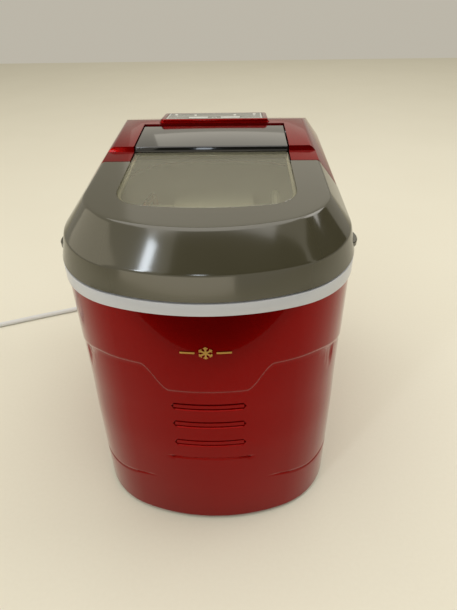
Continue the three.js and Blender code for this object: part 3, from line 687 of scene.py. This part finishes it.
def dome(name, thin, flat_inset, top, depth, edge_radius=2.2):
    profile = [(thin, raised(lid_edge, -2 * thin)), (RIDGE_INSET + thin, raised(lid_ridge, -0.4 * thin)),
               (flat_inset + 0.4 * thin, raised(top, -depth)), (flat_inset + 6, raised(top, -depth))]
    radii = [0, edge_radius * 0.7, edge_radius, 0]
    return loft_profile(name, CABINET, rounded(profile, radii, 5), arc_steps=20, corner_steps=26)


def pane(name, grow, low, high, edge=0.0):
    profile = [(-grow, raised(lid_top, low)), (-grow, raised(lid_top, high - edge)),
               (-grow + edge, raised(lid_top, high))]
    if edge == 0:
        profile.pop()
    return loft_profile(name, WINDOW, profile, arc_steps=16, corner_steps=12)


def ear_tab(side):
    """Finger tab: a flat half ellipse at the lid's side."""
    centre = (side * (HALF_WIDTH + 2 - 8.4), -97, lid_edge(-97) + 3)
    rings = []
    for height, inset in ((-2.2, 0.6), (-1.6, 0), (1.6, 0), (2.2, 0.6)):
        rings.append([(centre[0] + (8.4 - inset) * math.cos(2 * math.pi * j / 64),
                       centre[1] + (14 - inset) * math.sin(2 * math.pi * j / 64), centre[2] + height)
                      for j in range(64)])
    return loft(f"ear_tab_{side}", rings)


def make_lid():
    lid = dome("lid_dome", 0, FLAT_INSET, lid_top, 0)
    inner = dome("inner", WALL, FLAT_INSET, lid_top, LID_SKIN, 1.5)
    rear_half = slab("rear_half", (-130, 130), (SEAM_Y - SEAM_GAP / 2, 260), (200, 400))
    carve(lid, rear_half)
    carve(lid, ear_tab(-1), ear_tab(1), operation="UNION")
    carve(lid, inner)
    tongue_end = HINGE_Y - BARREL_RADIUS - 2
    front = SEAM_Y - 8
    tongue = side_profile("tongue", [
        (front, lid_top(front) - LID_SKIN), (tongue_end, lid_top(tongue_end) - LID_SKIN),
        (tongue_end, lid_top(tongue_end) - LEDGE), (front, lid_top(front) - LEDGE),
    ], -TONGUE_HALF, TONGUE_HALF)
    carve(lid, tongue, operation="UNION")
    return carve(lid, pane("recess", 0.3, -LEDGE, 5), pane("view", -2.5, -20, 5))


lid_dome = make_lid()
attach(lid_dome, "lid")
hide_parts("lid_shell")
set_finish(lid_dome, "smoked_lid")

# %% Lid window
lid_pane = pane("lid_pane", 0, -2.3, -0.1, 0.5)
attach(lid_pane, "lid")
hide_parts("lid_window")
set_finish(lid_pane, "smoked_window")


# %% Lid tongue
def make_tongue_cap():
    """Raised strip behind the window that rolls down round the hinge barrel."""
    depth = 2.3
    neck = HINGE_Y - BARREL_RADIUS + 0.4
    points = [(STEP_Y, lid_top(STEP_Y) - depth), (neck, lid_top(neck) - depth)]
    for i in range(25):
        angle = math.pi * (1.08 + 1.42 * i / 24)
        points.append((HINGE_Y + BARREL_RADIUS * math.cos(angle), HINGE_Z + BARREL_RADIUS * math.sin(angle)))
    # The front face bulges slightly: it leans back 28 degrees at the top and 12 degrees at the foot.
    top_lean, foot_lean = math.radians(28), math.radians(12)
    bulge = STEP_HEIGHT / (math.sin(top_lean) - math.sin(foot_lean))
    for i in range(9):
        lean = top_lean + (foot_lean - top_lean) * i / 8
        points.append((STEP_Y + bulge * (math.cos(foot_lean) - math.cos(lean)),
                       lid_top(STEP_Y) + bulge * (math.sin(lean) - math.sin(foot_lean))))
    cap = side_profile("tongue_cap", points, -TONGUE_HALF, TONGUE_HALF)
    for x0 in (-75, 58):
        x1 = x0 + BORE_DEPTH
        profile = [(0, x0), (BORE_RADIUS, x0), (BORE_RADIUS, x1), (0, x1)]
        carve(cap, turned("bore", profile, (0, HINGE_Y, HINGE_Z), "x", 24))
    return soften(cap, 0.6)


tongue_cap = make_tongue_cap()
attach(tongue_cap, "lid")
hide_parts("lid_tongue_cap")
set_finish(tongue_cap, "gloss_black")

# %% [markdown]
# ## Rear cover and control pod
# Behind the seam the same dome goes on in red lacquer: first flush with the lid, then 4.4 mm higher, then
# falling away to the back. The side profile is cut from a taller dome with one boolean, so the chamfer runs
# through unbroken. The pod is a low wedge that stands on the roof's crease.

# %% Rear cover
STEP_INSET = 27.3
STEP_LEAN = 1.6
CREASE_Y = 69
raised_top = raised(lid_top, STEP_HEIGHT)
roof_end = lid_ridge(HALF_DEPTH - RIDGE_INSET)
roof_fall = (raised_top(CREASE_Y) - roof_end) / (HALF_DEPTH - RIDGE_INSET - CREASE_Y)


def rear_roof(y):
    return raised_top(CREASE_Y) - roof_fall * (y - CREASE_Y)


def roof_solid(name, drop, start):
    lean = STEP_LEAN + (WALL if drop > 0 else 0)
    points = [(start, 230), (HALF_DEPTH, 230), (HALF_DEPTH, rear_roof(HALF_DEPTH) - drop),
              (CREASE_Y, raised_top(CREASE_Y) - drop), (STEP_Y + lean, raised_top(STEP_Y) - drop),
              (STEP_Y, lid_top(STEP_Y) - drop), (start, lid_top(start) - drop)]
    return side_profile(name, points, -125, 125)


def make_rear_cover():
    cover = dome("rear_cover", 0, STEP_INSET, raised_top, 0, 6)
    carve(cover, roof_solid("roof", 0, SEAM_Y + SEAM_GAP / 2), operation="INTERSECT")
    soften(cover, 0.8, 3, 20)
    inner = dome("inner", WALL, STEP_INSET, raised_top, WALL, 1.5)
    carve(inner, roof_solid("inner_roof", WALL, SEAM_Y - 6), operation="INTERSECT")
    slot = slab("slot", (-SLOT_HALF, SLOT_HALF), (SEAM_Y - 5, HINGE_Y + BARREL_RADIUS + 0.6), (230, 340))
    board_window = slab("board_window", (-48, 48), (62, 97), (290, 340))
    return carve(cover, inner, slot, board_window)


rear_cover = make_rear_cover()
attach(rear_cover, "cabinet")
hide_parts("rear_top_cover")
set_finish(rear_cover, "red_metallic")

# %% Control pod
POD_HALF, POD_FRONT, POD_REAR = 56.5, 55.5, 103
POD_FRONT_Z = 328.6
POD_TILT = math.radians(5)
PANEL = dict(half=50, front=60, rear=98, thick=1.1)
FIT_GAP = 0.3


def pod_top(y):
    return POD_FRONT_Z - math.tan(POD_TILT) * (y - POD_FRONT)


def on_pod(name, x_range, y_range, low, high):
    """A slab that lies parallel to the pod's tilted top."""
    y0, y1 = y_range
    return side_profile(name, [(y0, pod_top(y0) + low), (y1, pod_top(y1) + low),
                               (y1, pod_top(y1) + high), (y0, pod_top(y0) + high)], *x_range)


def pod_ring(inset, height, radius=5, steps=8):
    """Round-cornered plan ring of the pod at a height that depends on y."""
    radius -= inset
    middle, reach = (POD_FRONT + POD_REAR) / 2, (POD_REAR - POD_FRONT) / 2 - inset - radius
    points = []
    for cx, cy, quarter in ((1, -1, 3), (1, 1, 0), (-1, 1, 1), (-1, -1, 2)):
        for i in range(steps + 1):
            angle = math.pi / 2 * (quarter + i / steps)
            y = middle + cy * reach + radius * math.sin(angle)
            points.append((cx * (POD_HALF - inset - radius) + radius * math.cos(angle), y, height(y)))
    return points


def make_pod():
    lift, edge, draft = 0.3, 1.3, 1.4
    rings = [pod_ring(0, lambda y: min(raised_top(y), rear_roof(y)) + lift)]
    for i in range(6):
        angle = math.pi / 2 * i / 5
        inset, drop = draft + edge * (1 - math.cos(angle)), edge * (1 - math.sin(angle))
        rings.append(pod_ring(inset, lambda y, d=drop: pod_top(y) - d))
    pod = loft("pod_housing", rings)
    half, front, rear = PANEL["half"] + FIT_GAP, PANEL["front"] - FIT_GAP, PANEL["rear"] + FIT_GAP
    seat = on_pod("seat", (-half, half), (front, rear), -PANEL["thick"] - FIT_GAP, 4)
    return carve(pod, slab("well", (-46, 46), (63, 95), (300, 340)), seat)


pod_housing = make_pod()
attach(pod_housing, "cabinet")
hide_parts("control_pod")
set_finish(pod_housing, "red_metallic")

# %% Panel face, printed frame, keys and lamps
KEYS = {"power": -16.5, "select": 16.5}
KEY_HALF, KEY_FRONT, KEY_REAR, KEY_PROUD = 10, 63.5, 69.5, 0.5
LAMPS = {"make": (-42, 91.5), "full": (-21, 86), "water": (21, 86), "power": (42, 91.5)}
LAMP_RADIUS = 1.9


def make_panel_face():
    half, thick = PANEL["half"], PANEL["thick"]
    face = on_pod("panel_face", (-half, half), (PANEL["front"], PANEL["rear"]), -thick, 0)
    for x in KEYS.values():
        width = (x - KEY_HALF - FIT_GAP, x + KEY_HALF + FIT_GAP)
        carve(face, on_pod("hole", width, (KEY_FRONT - FIT_GAP, KEY_REAR + FIT_GAP), -9, 9))
    for x, y in LAMPS.values():
        radius = LAMP_RADIUS + FIT_GAP
        carve(face, turned("hole", [(0, 310), (radius, 310), (radius, 340), (0, 340)], (x, y, 0), "z", 24))
    return soften(face, 0.25, 2)


def make_panel_frame():
    """Thin pale line printed round the panel."""
    half, front, rear, line = PANEL["half"] - 1.2, PANEL["front"] + 1.2, PANEL["rear"] - 1.2, 0.9
    band = on_pod("panel_frame", (-half, half), (front, rear), 0.005, 0.045)
    hole = on_pod("hole", (line - half, half - line), (front + line, rear - line), -3, 3)
    mark_y = (KEY_FRONT + KEY_REAR) / 2
    top = pod_top(mark_y) + 0.02
    ring_profile = [(1.6, top), (2.4, top), (2.4, top + 0.04), (1.6, top + 0.04)]
    mark = turned("mark", ring_profile, (0, mark_y, 0), "z", 32)
    return smooth(join("panel_frame", [carve(band, hole), mark]))


panel_face = make_panel_face()
panel_frame = make_panel_frame()
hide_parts("control_panel")
for piece, slot_name in ((panel_face, "panel_grey"), (panel_frame, "key_white")):
    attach(piece, "cabinet")
    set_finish(piece, slot_name)

for key_name, key_x in KEYS.items():
    key_width = (key_x - KEY_HALF, key_x + KEY_HALF)
    key = on_pod(f"{key_name}_key", key_width, (KEY_FRONT, KEY_REAR), -2, KEY_PROUD)
    carve(key, slab("stem", (key_x - 2, key_x + 2), (65, 68), (316, 326)), operation="UNION")
    soften(key, 0.35, 3)
    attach(key, f"{key_name}_key")
    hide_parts(f"{key_name}_button")
    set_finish(key, "key_white")

for lamp_name, (lamp_x, lamp_y) in LAMPS.items():
    top = pod_top(lamp_y)
    profile = [(0, top - 4), (LAMP_RADIUS, top - 4), (LAMP_RADIUS, top - 0.1),
               (LAMP_RADIUS * 0.7, top + 0.12), (0, top + 0.2)]
    lamp = turned(f"{lamp_name}_lamp", profile, (lamp_x, lamp_y, 0), "z", 24)
    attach(lamp, "cabinet")
    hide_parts(f"lamp_{lamp_name}")
    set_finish(lamp, "lamp_lens")

# %% [markdown]
# ## Badge, feet, drain plug, sleeve and plug
# Small pieces finish the outside. The badge is a generic ice crystal on a slim bar; its arms are extruded
# flat and then bent onto the bowed front by moving every point out to the plan's curve.

# %% Badge
BADGE_Z, BADGE_HALF = 216, 19.7
BADGE_OUT, BADGE_DEEP = 0.75, 0.45


def front_curve(x):
    """How far forward the cabinet's bowed front lies at x."""
    radius = CABINET["front_radius"] - BODY_INSET
    return -HALF_DEPTH + BODY_INSET + radius - math.sqrt(radius * radius - x * x)


def bar_outline(length, width, angle, centre=(0, 0)):
    along, across = (math.cos(angle), math.sin(angle)), (-math.sin(angle), math.cos(angle))
    corners = ((-0.5, -0.5), (0.5, -0.5), (0.5, 0.5), (-0.5, 0.5))
    return [(centre[0] + a * length * along[0] + b * width * across[0],
             centre[1] + a * length * along[1] + b * width * across[1]) for a, b in corners]


def badge_bar(name, length, width, angle, centre=(0, 0)):
    """A flat bar on the bowed front, in strips so that it can bend."""
    (x0, z0), (x1, z1), (x2, z2), (x3, z3) = bar_outline(length, width, angle, centre)
    strips = 10
    vertices, faces = [], []
    for i in range(strips + 1):
        t = i / strips
        for xa, za, xb, zb in ((x0, z0, x1, z1), (x3, z3, x2, z2)):
            x, z = xa + (xb - xa) * t, za + (zb - za) * t
            for out in (0, BADGE_DEEP):
                vertices.append((x, front_curve(x) - BADGE_OUT + out, BADGE_Z + z))
    for i in range(strips):
        a = 4 * i
        for p, q in ((0, 2), (2, 3), (3, 1), (1, 0)):
            faces.append((a + p, a + 4 + p, a + 4 + q, a + q))
    faces += [(0, 2, 3, 1), (4 * strips, 4 * strips + 1, 4 * strips + 3, 4 * strips + 2)]
    return mesh_piece(name, vertices, faces)


def make_badge():
    arms = [badge_bar("arm", 11.4, 1.5, math.pi * (i + 0.5) / 3) for i in range(3)]
    for i in range(6):
        angle = math.pi * (i + 0.5) / 3
        for turn in (-1, 1):
            centre = (3.7 * math.cos(angle) + 0.9 * math.cos(angle + turn),
                      3.7 * math.sin(angle) + 0.9 * math.sin(angle + turn))
            arms.append(badge_bar("twig", 2.3, 0.8, angle + turn * math.pi / 3.4, centre))
    for side in (-1, 1):
        arms.append(badge_bar("bar", 11.4, 1.6, 0, (side * (BADGE_HALF - 5.7), 0)))
    return smooth(join("ice_crystal_badge", arms))


badge = make_badge()
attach(badge, "cabinet")
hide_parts("front_badge")
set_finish(badge, "badge_gold")

# %% Feet
for end_name, foot_y in (("front", -112), ("rear", 112)):
    for side_name, foot_x in (("left", -78), ("right", 78)):
        profile = [(0, 0), (9.6, 0), (10.6, 0.4), (11, 1), (12, 2.2), (12, 4.2), (11.6, 4.7), (0, 4.7)]
        foot = turned(f"rubber_foot_{end_name}_{side_name}", profile, (foot_x, foot_y, 0))
        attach(foot, "cabinet")
        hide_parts(f"foot_{end_name}_{side_name}")
        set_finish(foot, "rubber_black")


# %% Drain plug
def make_drain_cap():
    face = HALF_WIDTH - BODY_INSET
    profile = [(0, 104.4), (11, 104.4), (11.5, 105), (11.5, face - 0.8), (10.7, face), (8.8, face),
               (8.3, face - 1.2), (0, face - 1.2)]
    cap = turned("drain_cap", profile, (0, DRAIN_Y, DRAIN_Z), "x", 64)
    across, up = (DRAIN_Y - 8.4, DRAIN_Y + 8.4), (DRAIN_Z - 1.6, DRAIN_Z + 1.6)
    grip = slab("grip", (face - 3, face - 0.1), across, up)
    soften(grip, 0.5)
    return carve(cap, grip, operation="UNION")


drain_cap = make_drain_cap()
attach(drain_cap, "plug_cap")
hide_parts("drain_plug")
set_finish(drain_cap, "rubber_black")

# %% Strain relief
RELIEF_LENGTH = 35.4
RELIEF_START = CORD_EXIT[1] - RELIEF_LENGTH - 0.3


def make_strain_relief():
    profile = [(0, 0), (8, 0), (8, 3), (5, 3), (5, 9.8), (8, 9.8), (8, 13)]
    for i in range(6):
        height = 14.5 + 3.3 * i
        outer = 7.2 - 0.42 * i
        profile += [(outer - 1, height - 0.4), (outer - 1, height + 0.5),
                    (outer, height + 0.9), (outer, height + 2.2)]
    profile += [(4.4, RELIEF_LENGTH - 1), (4.1, RELIEF_LENGTH), (0, RELIEF_LENGTH)]
    return turned("strain_relief_sleeve", profile, (CORD_EXIT[0], RELIEF_START, CORD_EXIT[2]), "y", 32)


strain_relief = make_strain_relief()
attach(strain_relief, "cabinet")
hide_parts("cord_strain_relief")
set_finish(strain_relief, "cord_grey")


# %% Plug
def plug_section(x, half_y, half_z, power=0.6, sides=40):
    points = []
    for j in range(sides):
        angle = 2 * math.pi * j / sides
        c, s = math.cos(angle), math.sin(angle)
        y = half_y * math.copysign(abs(c) ** power, c)
        points.append((x, y, half_z * math.copysign(abs(s) ** power, s)))
    return points


def place_plug(piece):
    start = along_lead(TAIL_LENGTH + 0.3, PLUG_Z)
    move = Matrix.Translation(Vector(start) * MM) @ Matrix.Rotation(CORD_HEADING, 4, "Z")
    piece.data.transform(move)
    return piece


def make_plug_body():
    sizes = [(0, 4.4, 4.4), (1, 4.9, 4.9)]
    for i in range(4):
        x = 3 + 3.4 * i
        sizes += [(x, 4.9, 4.9), (x + 0.5, 4.3, 4.3), (x + 1.3, 4.3, 4.3), (x + 1.8, 5.2, 5.0)]
    sizes += [(17, 6, 5.8), (20, 8.8, 7.6), (23, 11.4, 9.2), (27, 13, 10.3),
              (31, 13.5, 10.6), (40, 13.5, 10.6), (41.6, 13.1, 10.2), (42, 12.2, 9.4)]
    return place_plug(smooth(loft("plug_body", [plug_section(*size) for size in sizes]), 50))


def make_plug_pins():
    pins = []
    for y, z, turn in ((-6.9, 2.4, math.pi / 6), (6.9, 2.4, -math.pi / 6), (0, -5.6, 0)):
        pin = slab("pin", (41.5, 61), (-0.8, 0.8), (-3.15, 3.15))
        soften(pin, 0.35, 2)
        pin.data.transform(Matrix.Translation((0, y * MM, z * MM)) @ Matrix.Rotation(turn, 4, "X"))
        pins.append(pin)
    return place_plug(smooth(join("plug_pins", pins)))


plug_body = make_plug_body()
plug_pins = make_plug_pins()
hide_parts("power_plug")
for piece, slot_name in ((plug_body, "cord_grey"), (plug_pins, "steel")):
    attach(piece, "cabinet")
    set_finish(piece, slot_name)

# %% [markdown]
# ## Writing materials as formulas
# A node tree is a formula drawn as boxes. Two small classes let me write it as one: a Value is an output that
# understands + - * /, and a Finish is one material whose `node` method makes any node, settings first and
# sockets after. Writing trees out by hand would take four times the lines and hide the idea.

# %% Values and finishes
class Value:
    """An output socket that can be used in plain arithmetic."""

    def __init__(self, finish, socket):
        self.finish = finish
        self.socket = socket

    def math(self, operation, first, second=0.0):
        return self.finish.node("Math", {"operation": operation}, {0: first, 1: second})

    def __add__(self, other):
        return self.math("ADD", self, other)

    def __radd__(self, other):
        return self.math("ADD", other, self)

    def __sub__(self, other):
        return self.math("SUBTRACT", self, other)

    def __rsub__(self, other):
        return self.math("SUBTRACT", other, self)

    def __mul__(self, other):
        return self.math("MULTIPLY", self, other)

    def __rmul__(self, other):
        return self.math("MULTIPLY", other, self)

    def between(self, low, high):
        """0 below low, 1 above high, smooth in the middle."""
        return self.finish.node("MapRange", {"interpolation_type": "SMOOTHSTEP"},
                                {"Value": self, "From Min": low, "From Max": high})


class Finish:
    """One material and the tree behind it."""

    def __init__(self, name):
        self.material = bpy.data.materials.new(name)
        self.material.use_nodes = True
        self.tree = self.material.node_tree
        self.tree.nodes.clear()
        self.place = self.node("TexCoord", {}, {}, output="Object")

    def node(self, kind, settings, sockets, output=0):
        made = self.tree.nodes.new("ShaderNode" + kind)
        for key, value in settings.items():
            setattr(made, key, value)
        for key, value in sockets.items():
            if isinstance(value, Value):
                self.tree.links.new(value.socket, made.inputs[key])
            else:
                made.inputs[key].default_value = value
        return Value(self, made.outputs[output]) if len(made.outputs) else None

    def stretched(self, scale):
        """Object coordinates scaled by axis, for grain that runs one way."""
        return self.node("Mapping", {}, {"Vector": self.place, "Scale": scale})

    def noise(self, size_mm, detail=2.0, place=None):
        """Soft noise from 0 to 1 with features of about the given size."""
        sockets = {"Vector": place or self.place, "Scale": 1000 / size_mm, "Detail": detail}
        return self.node("TexNoise", {}, sockets)

    def cells(self, size_mm, output="Color"):
        return self.node("TexVoronoi", {}, {"Vector": self.place, "Scale": 1000 / size_mm}, output)

    def mix(self, factor, first, second):
        return self.node("Mix", {"data_type": "RGBA"}, {"Factor": factor, 6: first, 7: second}, output=2)

    def bump(self, height, depth_mm, strength=1.0):
        return self.node("Bump", {}, {"Height": height, "Distance": depth_mm * MM, "Strength": strength})

    def surface(self, shader):
        self.node("OutputMaterial", {}, {"Surface": shader})
        return self.material

    def principled(self, **sockets):
        named = {key.replace("_", " "): value for key, value in sockets.items()}
        return self.node("BsdfPrincipled", {}, named)


def linear(level):
    level = level / 255
    return level / 12.92 if level <= 0.04045 else ((level + 0.055) / 1.055) ** 2.4


def paint(red, green, blue, strength=1.0):
    """A colour given in everyday 0-255 values, as the linear light that shaders use."""
    return tuple(strength * linear(v) for v in (red, green, blue)) + (1.0,)


# %% [markdown]
# ## Lacquer
# The red is a metallic lacquer: colour with fine flakes under a thick clear coat. The flakes are cells a
# quarter of a millimetre across whose brightness varies, and the coat is the shader's own coat layer, which
# keeps sharp reflections over a soft base. A long, shallow waviness breaks the reflections a little, as
# sprayed plastic does.

# %% Lacquer
def red_lacquer():
    look = Finish("red_lacquer")
    flake = look.node("SeparateColor", {}, {0: look.cells(0.25)})
    depth = look.noise(60) * 0.2 + flake * 0.3 + 0.2
    base = look.mix(depth, paint(90, 3, 2), paint(166, 9, 6))
    wave = look.noise(9, 1.0)
    return look.surface(look.principled(
        Base_Color=base, Metallic=0.75, Roughness=flake * 0.06 + 0.2, Specular_IOR_Level=0.0, Coat_Weight=1.0,
        Coat_IOR=1.15, Coat_Roughness=0.03, Normal=look.bump(wave, 0.02, 0.2)))


# %% [markdown]
# ## Plastics and rubber
# Moulded plastic is one colour right through. What makes it look real is small: a slow drift of the shade, a
# fine grain from the mould, and a roughness that isn't quite even. One function with those four numbers
# serves every opaque plastic and rubber piece, and the glossy ones add a coat.

# %% Moulded plastic
def moulded(name, colour, roughness, grain_mm=0.35, depth_mm=0.01, drift=0.1, coat=0.0, **more):
    look = Finish(name)
    darker = tuple(v * (1 - drift) for v in colour[:3]) + (1.0,)
    lighter = tuple(min(v * (1 + drift), 1) for v in colour[:3]) + (1.0,)
    shade = look.mix(look.noise(45, 3.0), darker, lighter)
    grain = look.noise(grain_mm, 2.0)
    uneven = look.noise(14) * 0.06 + (roughness - 0.03)
    return look.surface(look.principled(
        Base_Color=shade, Roughness=uneven, Coat_Weight=coat, Coat_Roughness=0.05,
        Normal=look.bump(grain, depth_mm, 0.6), **more))


# %% [markdown]
# ## Smoked plastic
# The lid is tinted acrylic-like plastic: it lets some light through and mirrors the ceiling. Full refraction
# would leave the inside black, because light can't find its way in through two refracting faces, so the lid
# mixes a dark body with a plain tinted see-through shader, and adds a weak mirror on top for the polish. The
# mix is nearly all body on the frame, and a good deal clearer on the window.

# %% Smoked plastic
def smoked(name, body, tint, clear, roughness, mirror):
    look = Finish(name)
    haze = look.noise(30, 3.0)
    ripple = look.bump(look.noise(16, 1.0), 0.02, 0.3)
    shade = look.mix(haze, tuple(v * 0.85 for v in body[:3]) + (1.0,), body)
    solid = look.principled(Base_Color=shade, Roughness=haze * 0.03 + roughness, Normal=ripple)
    through = look.node("BsdfTransparent", {}, {"Color": tint})
    mixed = look.node("MixShader", {}, {"Fac": haze * 0.04 + (clear - 0.02), 1: solid, 2: through})
    polish = look.node("BsdfAnisotropic", {}, {"Color": (mirror, mirror, mirror, 1), "Roughness": 0.14,
                                               "Normal": ripple})
    return look.surface(look.node("AddShader", {}, {0: mixed, 1: polish}))


# %% [markdown]
# ## Metals, board and printed foil
# Metals differ mainly in colour and in the direction of their finish. Drawn tube and pressed sheet have fine
# lines along the working direction, so their grain is noise stretched along one axis.

# %% Metals
def metal(name, colour, roughness, lines=(40, 40, 900), depth_mm=0.004):
    look = Finish(name)
    grain = look.noise(1000, 3.0, look.stretched(lines))
    stain = look.noise(35, 4.0).between(0.35, 0.75)
    shade = look.mix(stain, colour, tuple(v * 0.78 for v in colour[:3]) + (1.0,))
    return look.surface(look.principled(
        Base_Color=shade, Metallic=1.0, Roughness=grain * 0.12 + stain * 0.08 + (roughness - 0.1),
        Normal=look.bump(grain, depth_mm, 0.5)))


def condenser_fins():
    look = Finish("condenser_fins")
    fins_and_gap_shade = look.node("TexWave", {"wave_type": "BANDS", "bands_direction": "X", "wave_profile": "TRI"},
                     {"Vector": look.place, "Scale": 1000 / 2.2 / 20})
    # Painted shade: the dark bands stand for the shaded gaps between the fins, and the light bands for the
    # fin edges.
    shade = look.mix(fins_and_gap_shade.between(0.1, 0.6), paint(70, 72, 74), paint(205, 208, 210))
    return look.surface(look.principled(Base_Color=shade, Metallic=0.9, Roughness=0.38,
                                        Normal=look.bump(fins_and_gap_shade, 0.6, 0.8)))


def circuit_board():
    look = Finish("circuit_board")
    tracks = look.node("TexBrick", {"offset": 0.35}, {
        "Vector": look.place, "Scale": 1000 / 9, "Mortar Size": 0.06, "Color1": paint(12, 74, 36),
        "Color2": paint(16, 86, 44), "Mortar": paint(46, 128, 62), "Brick Width": 0.9, "Row Height": 0.35})
    pads = look.cells(2.4, "Distance").between(0.16, 0.12)
    shade = look.mix(pads, tracks, paint(196, 190, 172))
    return look.surface(look.principled(Base_Color=shade, Roughness=0.32, Metallic=pads * 0.8,
                                        Normal=look.bump(pads, 0.05, 0.6)))


def gold_foil():
    look = Finish("gold_foil")
    brushed = look.noise(1000, 3.0, look.stretched((40, 40, 2400)))
    shade = look.mix(brushed, paint(186, 138, 62), paint(232, 192, 110))
    return look.surface(look.principled(Base_Color=shade, Metallic=0.85, Roughness=brushed * 0.1 + 0.26))


def lamp_lens():
    look = Finish("lamp_lens")
    speck = look.noise(0.8, 2.0)
    shade = look.mix(speck, paint(196, 198, 192), paint(226, 227, 220))
    return look.surface(look.principled(Base_Color=shade, Roughness=speck * 0.05 + 0.15, Coat_Weight=0.6))


# %% Assign finishes
finishes = {
    "red_metallic": red_lacquer(),
    "ring_white": moulded("ring_plastic", paint(192, 195, 202), 0.3, 0.5, 0.006, 0.04, 0.25),
    "smoked_lid": smoked("smoked_frame", paint(70, 67, 51), paint(150, 140, 112), 0.1, 0.08, 0.055),
    "smoked_window": smoked("smoked_pane", paint(165, 163, 138), paint(250, 249, 240), 0.86, 0.03, 0.065),
    "gloss_black": moulded("gloss_black", paint(22, 22, 20), 0.1, 0.6, 0.003, 0.1, 0.9),
    "black_plastic": moulded("black_plastic", paint(30, 30, 31), 0.5, 0.6, 0.03),
    "rubber_black": moulded("black_rubber", paint(26, 26, 26), 0.72, 0.9, 0.04, 0.2),
    "panel_grey": moulded("panel_overlay", paint(84, 86, 78), 0.14, 0.5, 0.003, 0.05, 0.8),
    "key_white": moulded("key_plastic", paint(212, 214, 210), 0.36, 0.3, 0.008, 0.04),
    "lamp_lens": lamp_lens(),
    "badge_gold": gold_foil(),
    "inner_white": moulded("inner_plastic", paint(230, 232, 228), 0.34, 0.7, 0.008, 0.04, 0.2),
    "clear_basket": moulded("basket_plastic", paint(214, 219, 222), 0.22, 0.7, 0.006, 0.05, 0.4, Alpha=0.72),
    "bright_metal": metal("nickel_plate", paint(206, 207, 208), 0.26),
    "steel": metal("zinc_steel", paint(186, 188, 190), 0.34),
    "compressor_black": moulded("black_enamel", paint(22, 22, 24), 0.24, 3.0, 0.05, 0.15, 0.5),
    "copper": metal("copper_tube", paint(200, 128, 92), 0.28),
    "board_green": circuit_board(),
    "hose_clear": moulded("silicone_hose", paint(206, 208, 202), 0.3, 0.9, 0.01, 0.05, 0.2, Alpha=0.6),
    "cord_grey": moulded("cord_sheath", paint(216, 218, 218), 0.42, 0.25, 0.012, 0.05),
}
fins_and_gap_shade = condenser_fins()
node_slots = {part["node"]: part["material_slot"] for part in frame["record"]["subparts"]}
for node_name, node in frame["nodes"].items():
    finish = fins_and_gap_shade if node_name == "condenser" else finishes[node_slots[node_name]]
    node.data.materials.clear()
    node.data.materials.append(finish)
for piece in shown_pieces():
    if "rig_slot" in piece:
        piece.data.materials.clear()
        piece.data.materials.append(finishes[piece["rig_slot"]])
print("finishes", len(bpy.data.materials))

# %% [markdown]
# ## Floor and light
# A plain pale floor and soft light: a broad panel for the ceiling, upright panels for the pale walls behind,
# in front and at the left, a lamp at the right, and two small bluish ones for windows. A gloss surface shows
# what is round it, so three dark cards stand for the dim room: on the floor in front, high up in front, and
# at the right. Only reflections show the cards, and no panel is seen by the camera.

# %% Floor
def make_floor():
    half = 3000
    floor = slab("floor", (-half, half), (-half, half), (-20, 0))
    look = Finish("floor_paint")
    speck = look.noise(4, 4.0)
    shade = look.mix(speck * 0.5 + look.noise(220) * 0.5, paint(226, 222, 207), paint(234, 231, 217))
    floor.data.materials.append(look.surface(look.principled(
        Base_Color=shade, Roughness=0.9, Specular_IOR_Level=0.0, Normal=look.bump(speck, 0.05, 0.3))))
    return floor


floor = make_floor()


# %% Lights
def aim(thing, at, target):
    at, target = Vector(at) * MM, Vector(target) * MM
    turn = (target - at).to_track_quat("-Z", "Y").to_matrix().to_4x4()
    thing.matrix_world = Matrix.Translation(at) @ turn


def panel_light(name, at, target, width, height, watts, colour):
    data = bpy.data.lights.new(name, "AREA")
    data.shape = "RECTANGLE"
    data.size, data.size_y = width * MM, height * MM
    data.energy = watts
    data.color = colour
    light = link(bpy.data.objects.new(name, data))
    light.visible_camera = False
    aim(light, at, target)


panel_light("ceiling", (0, -250, 2200), (0, -250, 0), 2600, 2600, 27, (1.0, 0.97, 0.92))
panel_light("back_wall", (900, 2400, 1900), (900, 0, 300), 3300, 1600, 6.5, (1.0, 0.95, 0.84))
panel_light("far_wall", (-700, -2300, 150), (0, 0, 250), 2600, 500, 3.6, (1.0, 0.9, 0.7))
panel_light("left_wall", (-1900, -100, 1000), (0, -100, 300), 2400, 1200, 5, (1.0, 0.9, 0.68))
panel_light("side_lamp", (1300, 300, 1400), (0, 0, 100), 800, 800, 5, (1.0, 0.97, 0.92))
panel_light("window", (-830, -1140, 1135), (-40, -170, 295), 120, 620, 2.4, (0.84, 0.92, 1.0))
panel_light("high_window", (-145, -1380, 930), (-15, -11, 320), 145, 260, 0.5, (0.84, 0.92, 1.0))


def dark_card(name, at, target, width, height):
    card = slab(name, (-width / 2, width / 2), (-height / 2, height / 2), (-1, 0))
    aim(card, at, target)
    look = Finish("dark_card")
    shade = look.mix(look.noise(200), paint(14, 10, 9), paint(24, 18, 16))
    card.data.materials.append(look.surface(look.principled(Base_Color=shade, Roughness=0.9)))
    card.visible_camera = False
    card.visible_diffuse = False
    card.visible_shadow = False
    return card


dark_card("room_floor", (0, -780, 2), (0, -780, 100), 2400, 700)
dark_card("room_behind", (950, -1600, 1600), (950, 0, 1600), 3300, 1650)
dark_card("room_side", (1900, 0, 1050), (0, 0, 1050), 1900, 1300)

world = bpy.data.worlds.new("room")
bpy.context.scene.world = world
world.use_nodes = True
background = world.node_tree.nodes["Background"]
background.inputs["Color"].default_value = paint(236, 229, 212)
background.inputs["Strength"].default_value = 0.6
bpy.context.scene.view_settings.view_transform = "Standard"
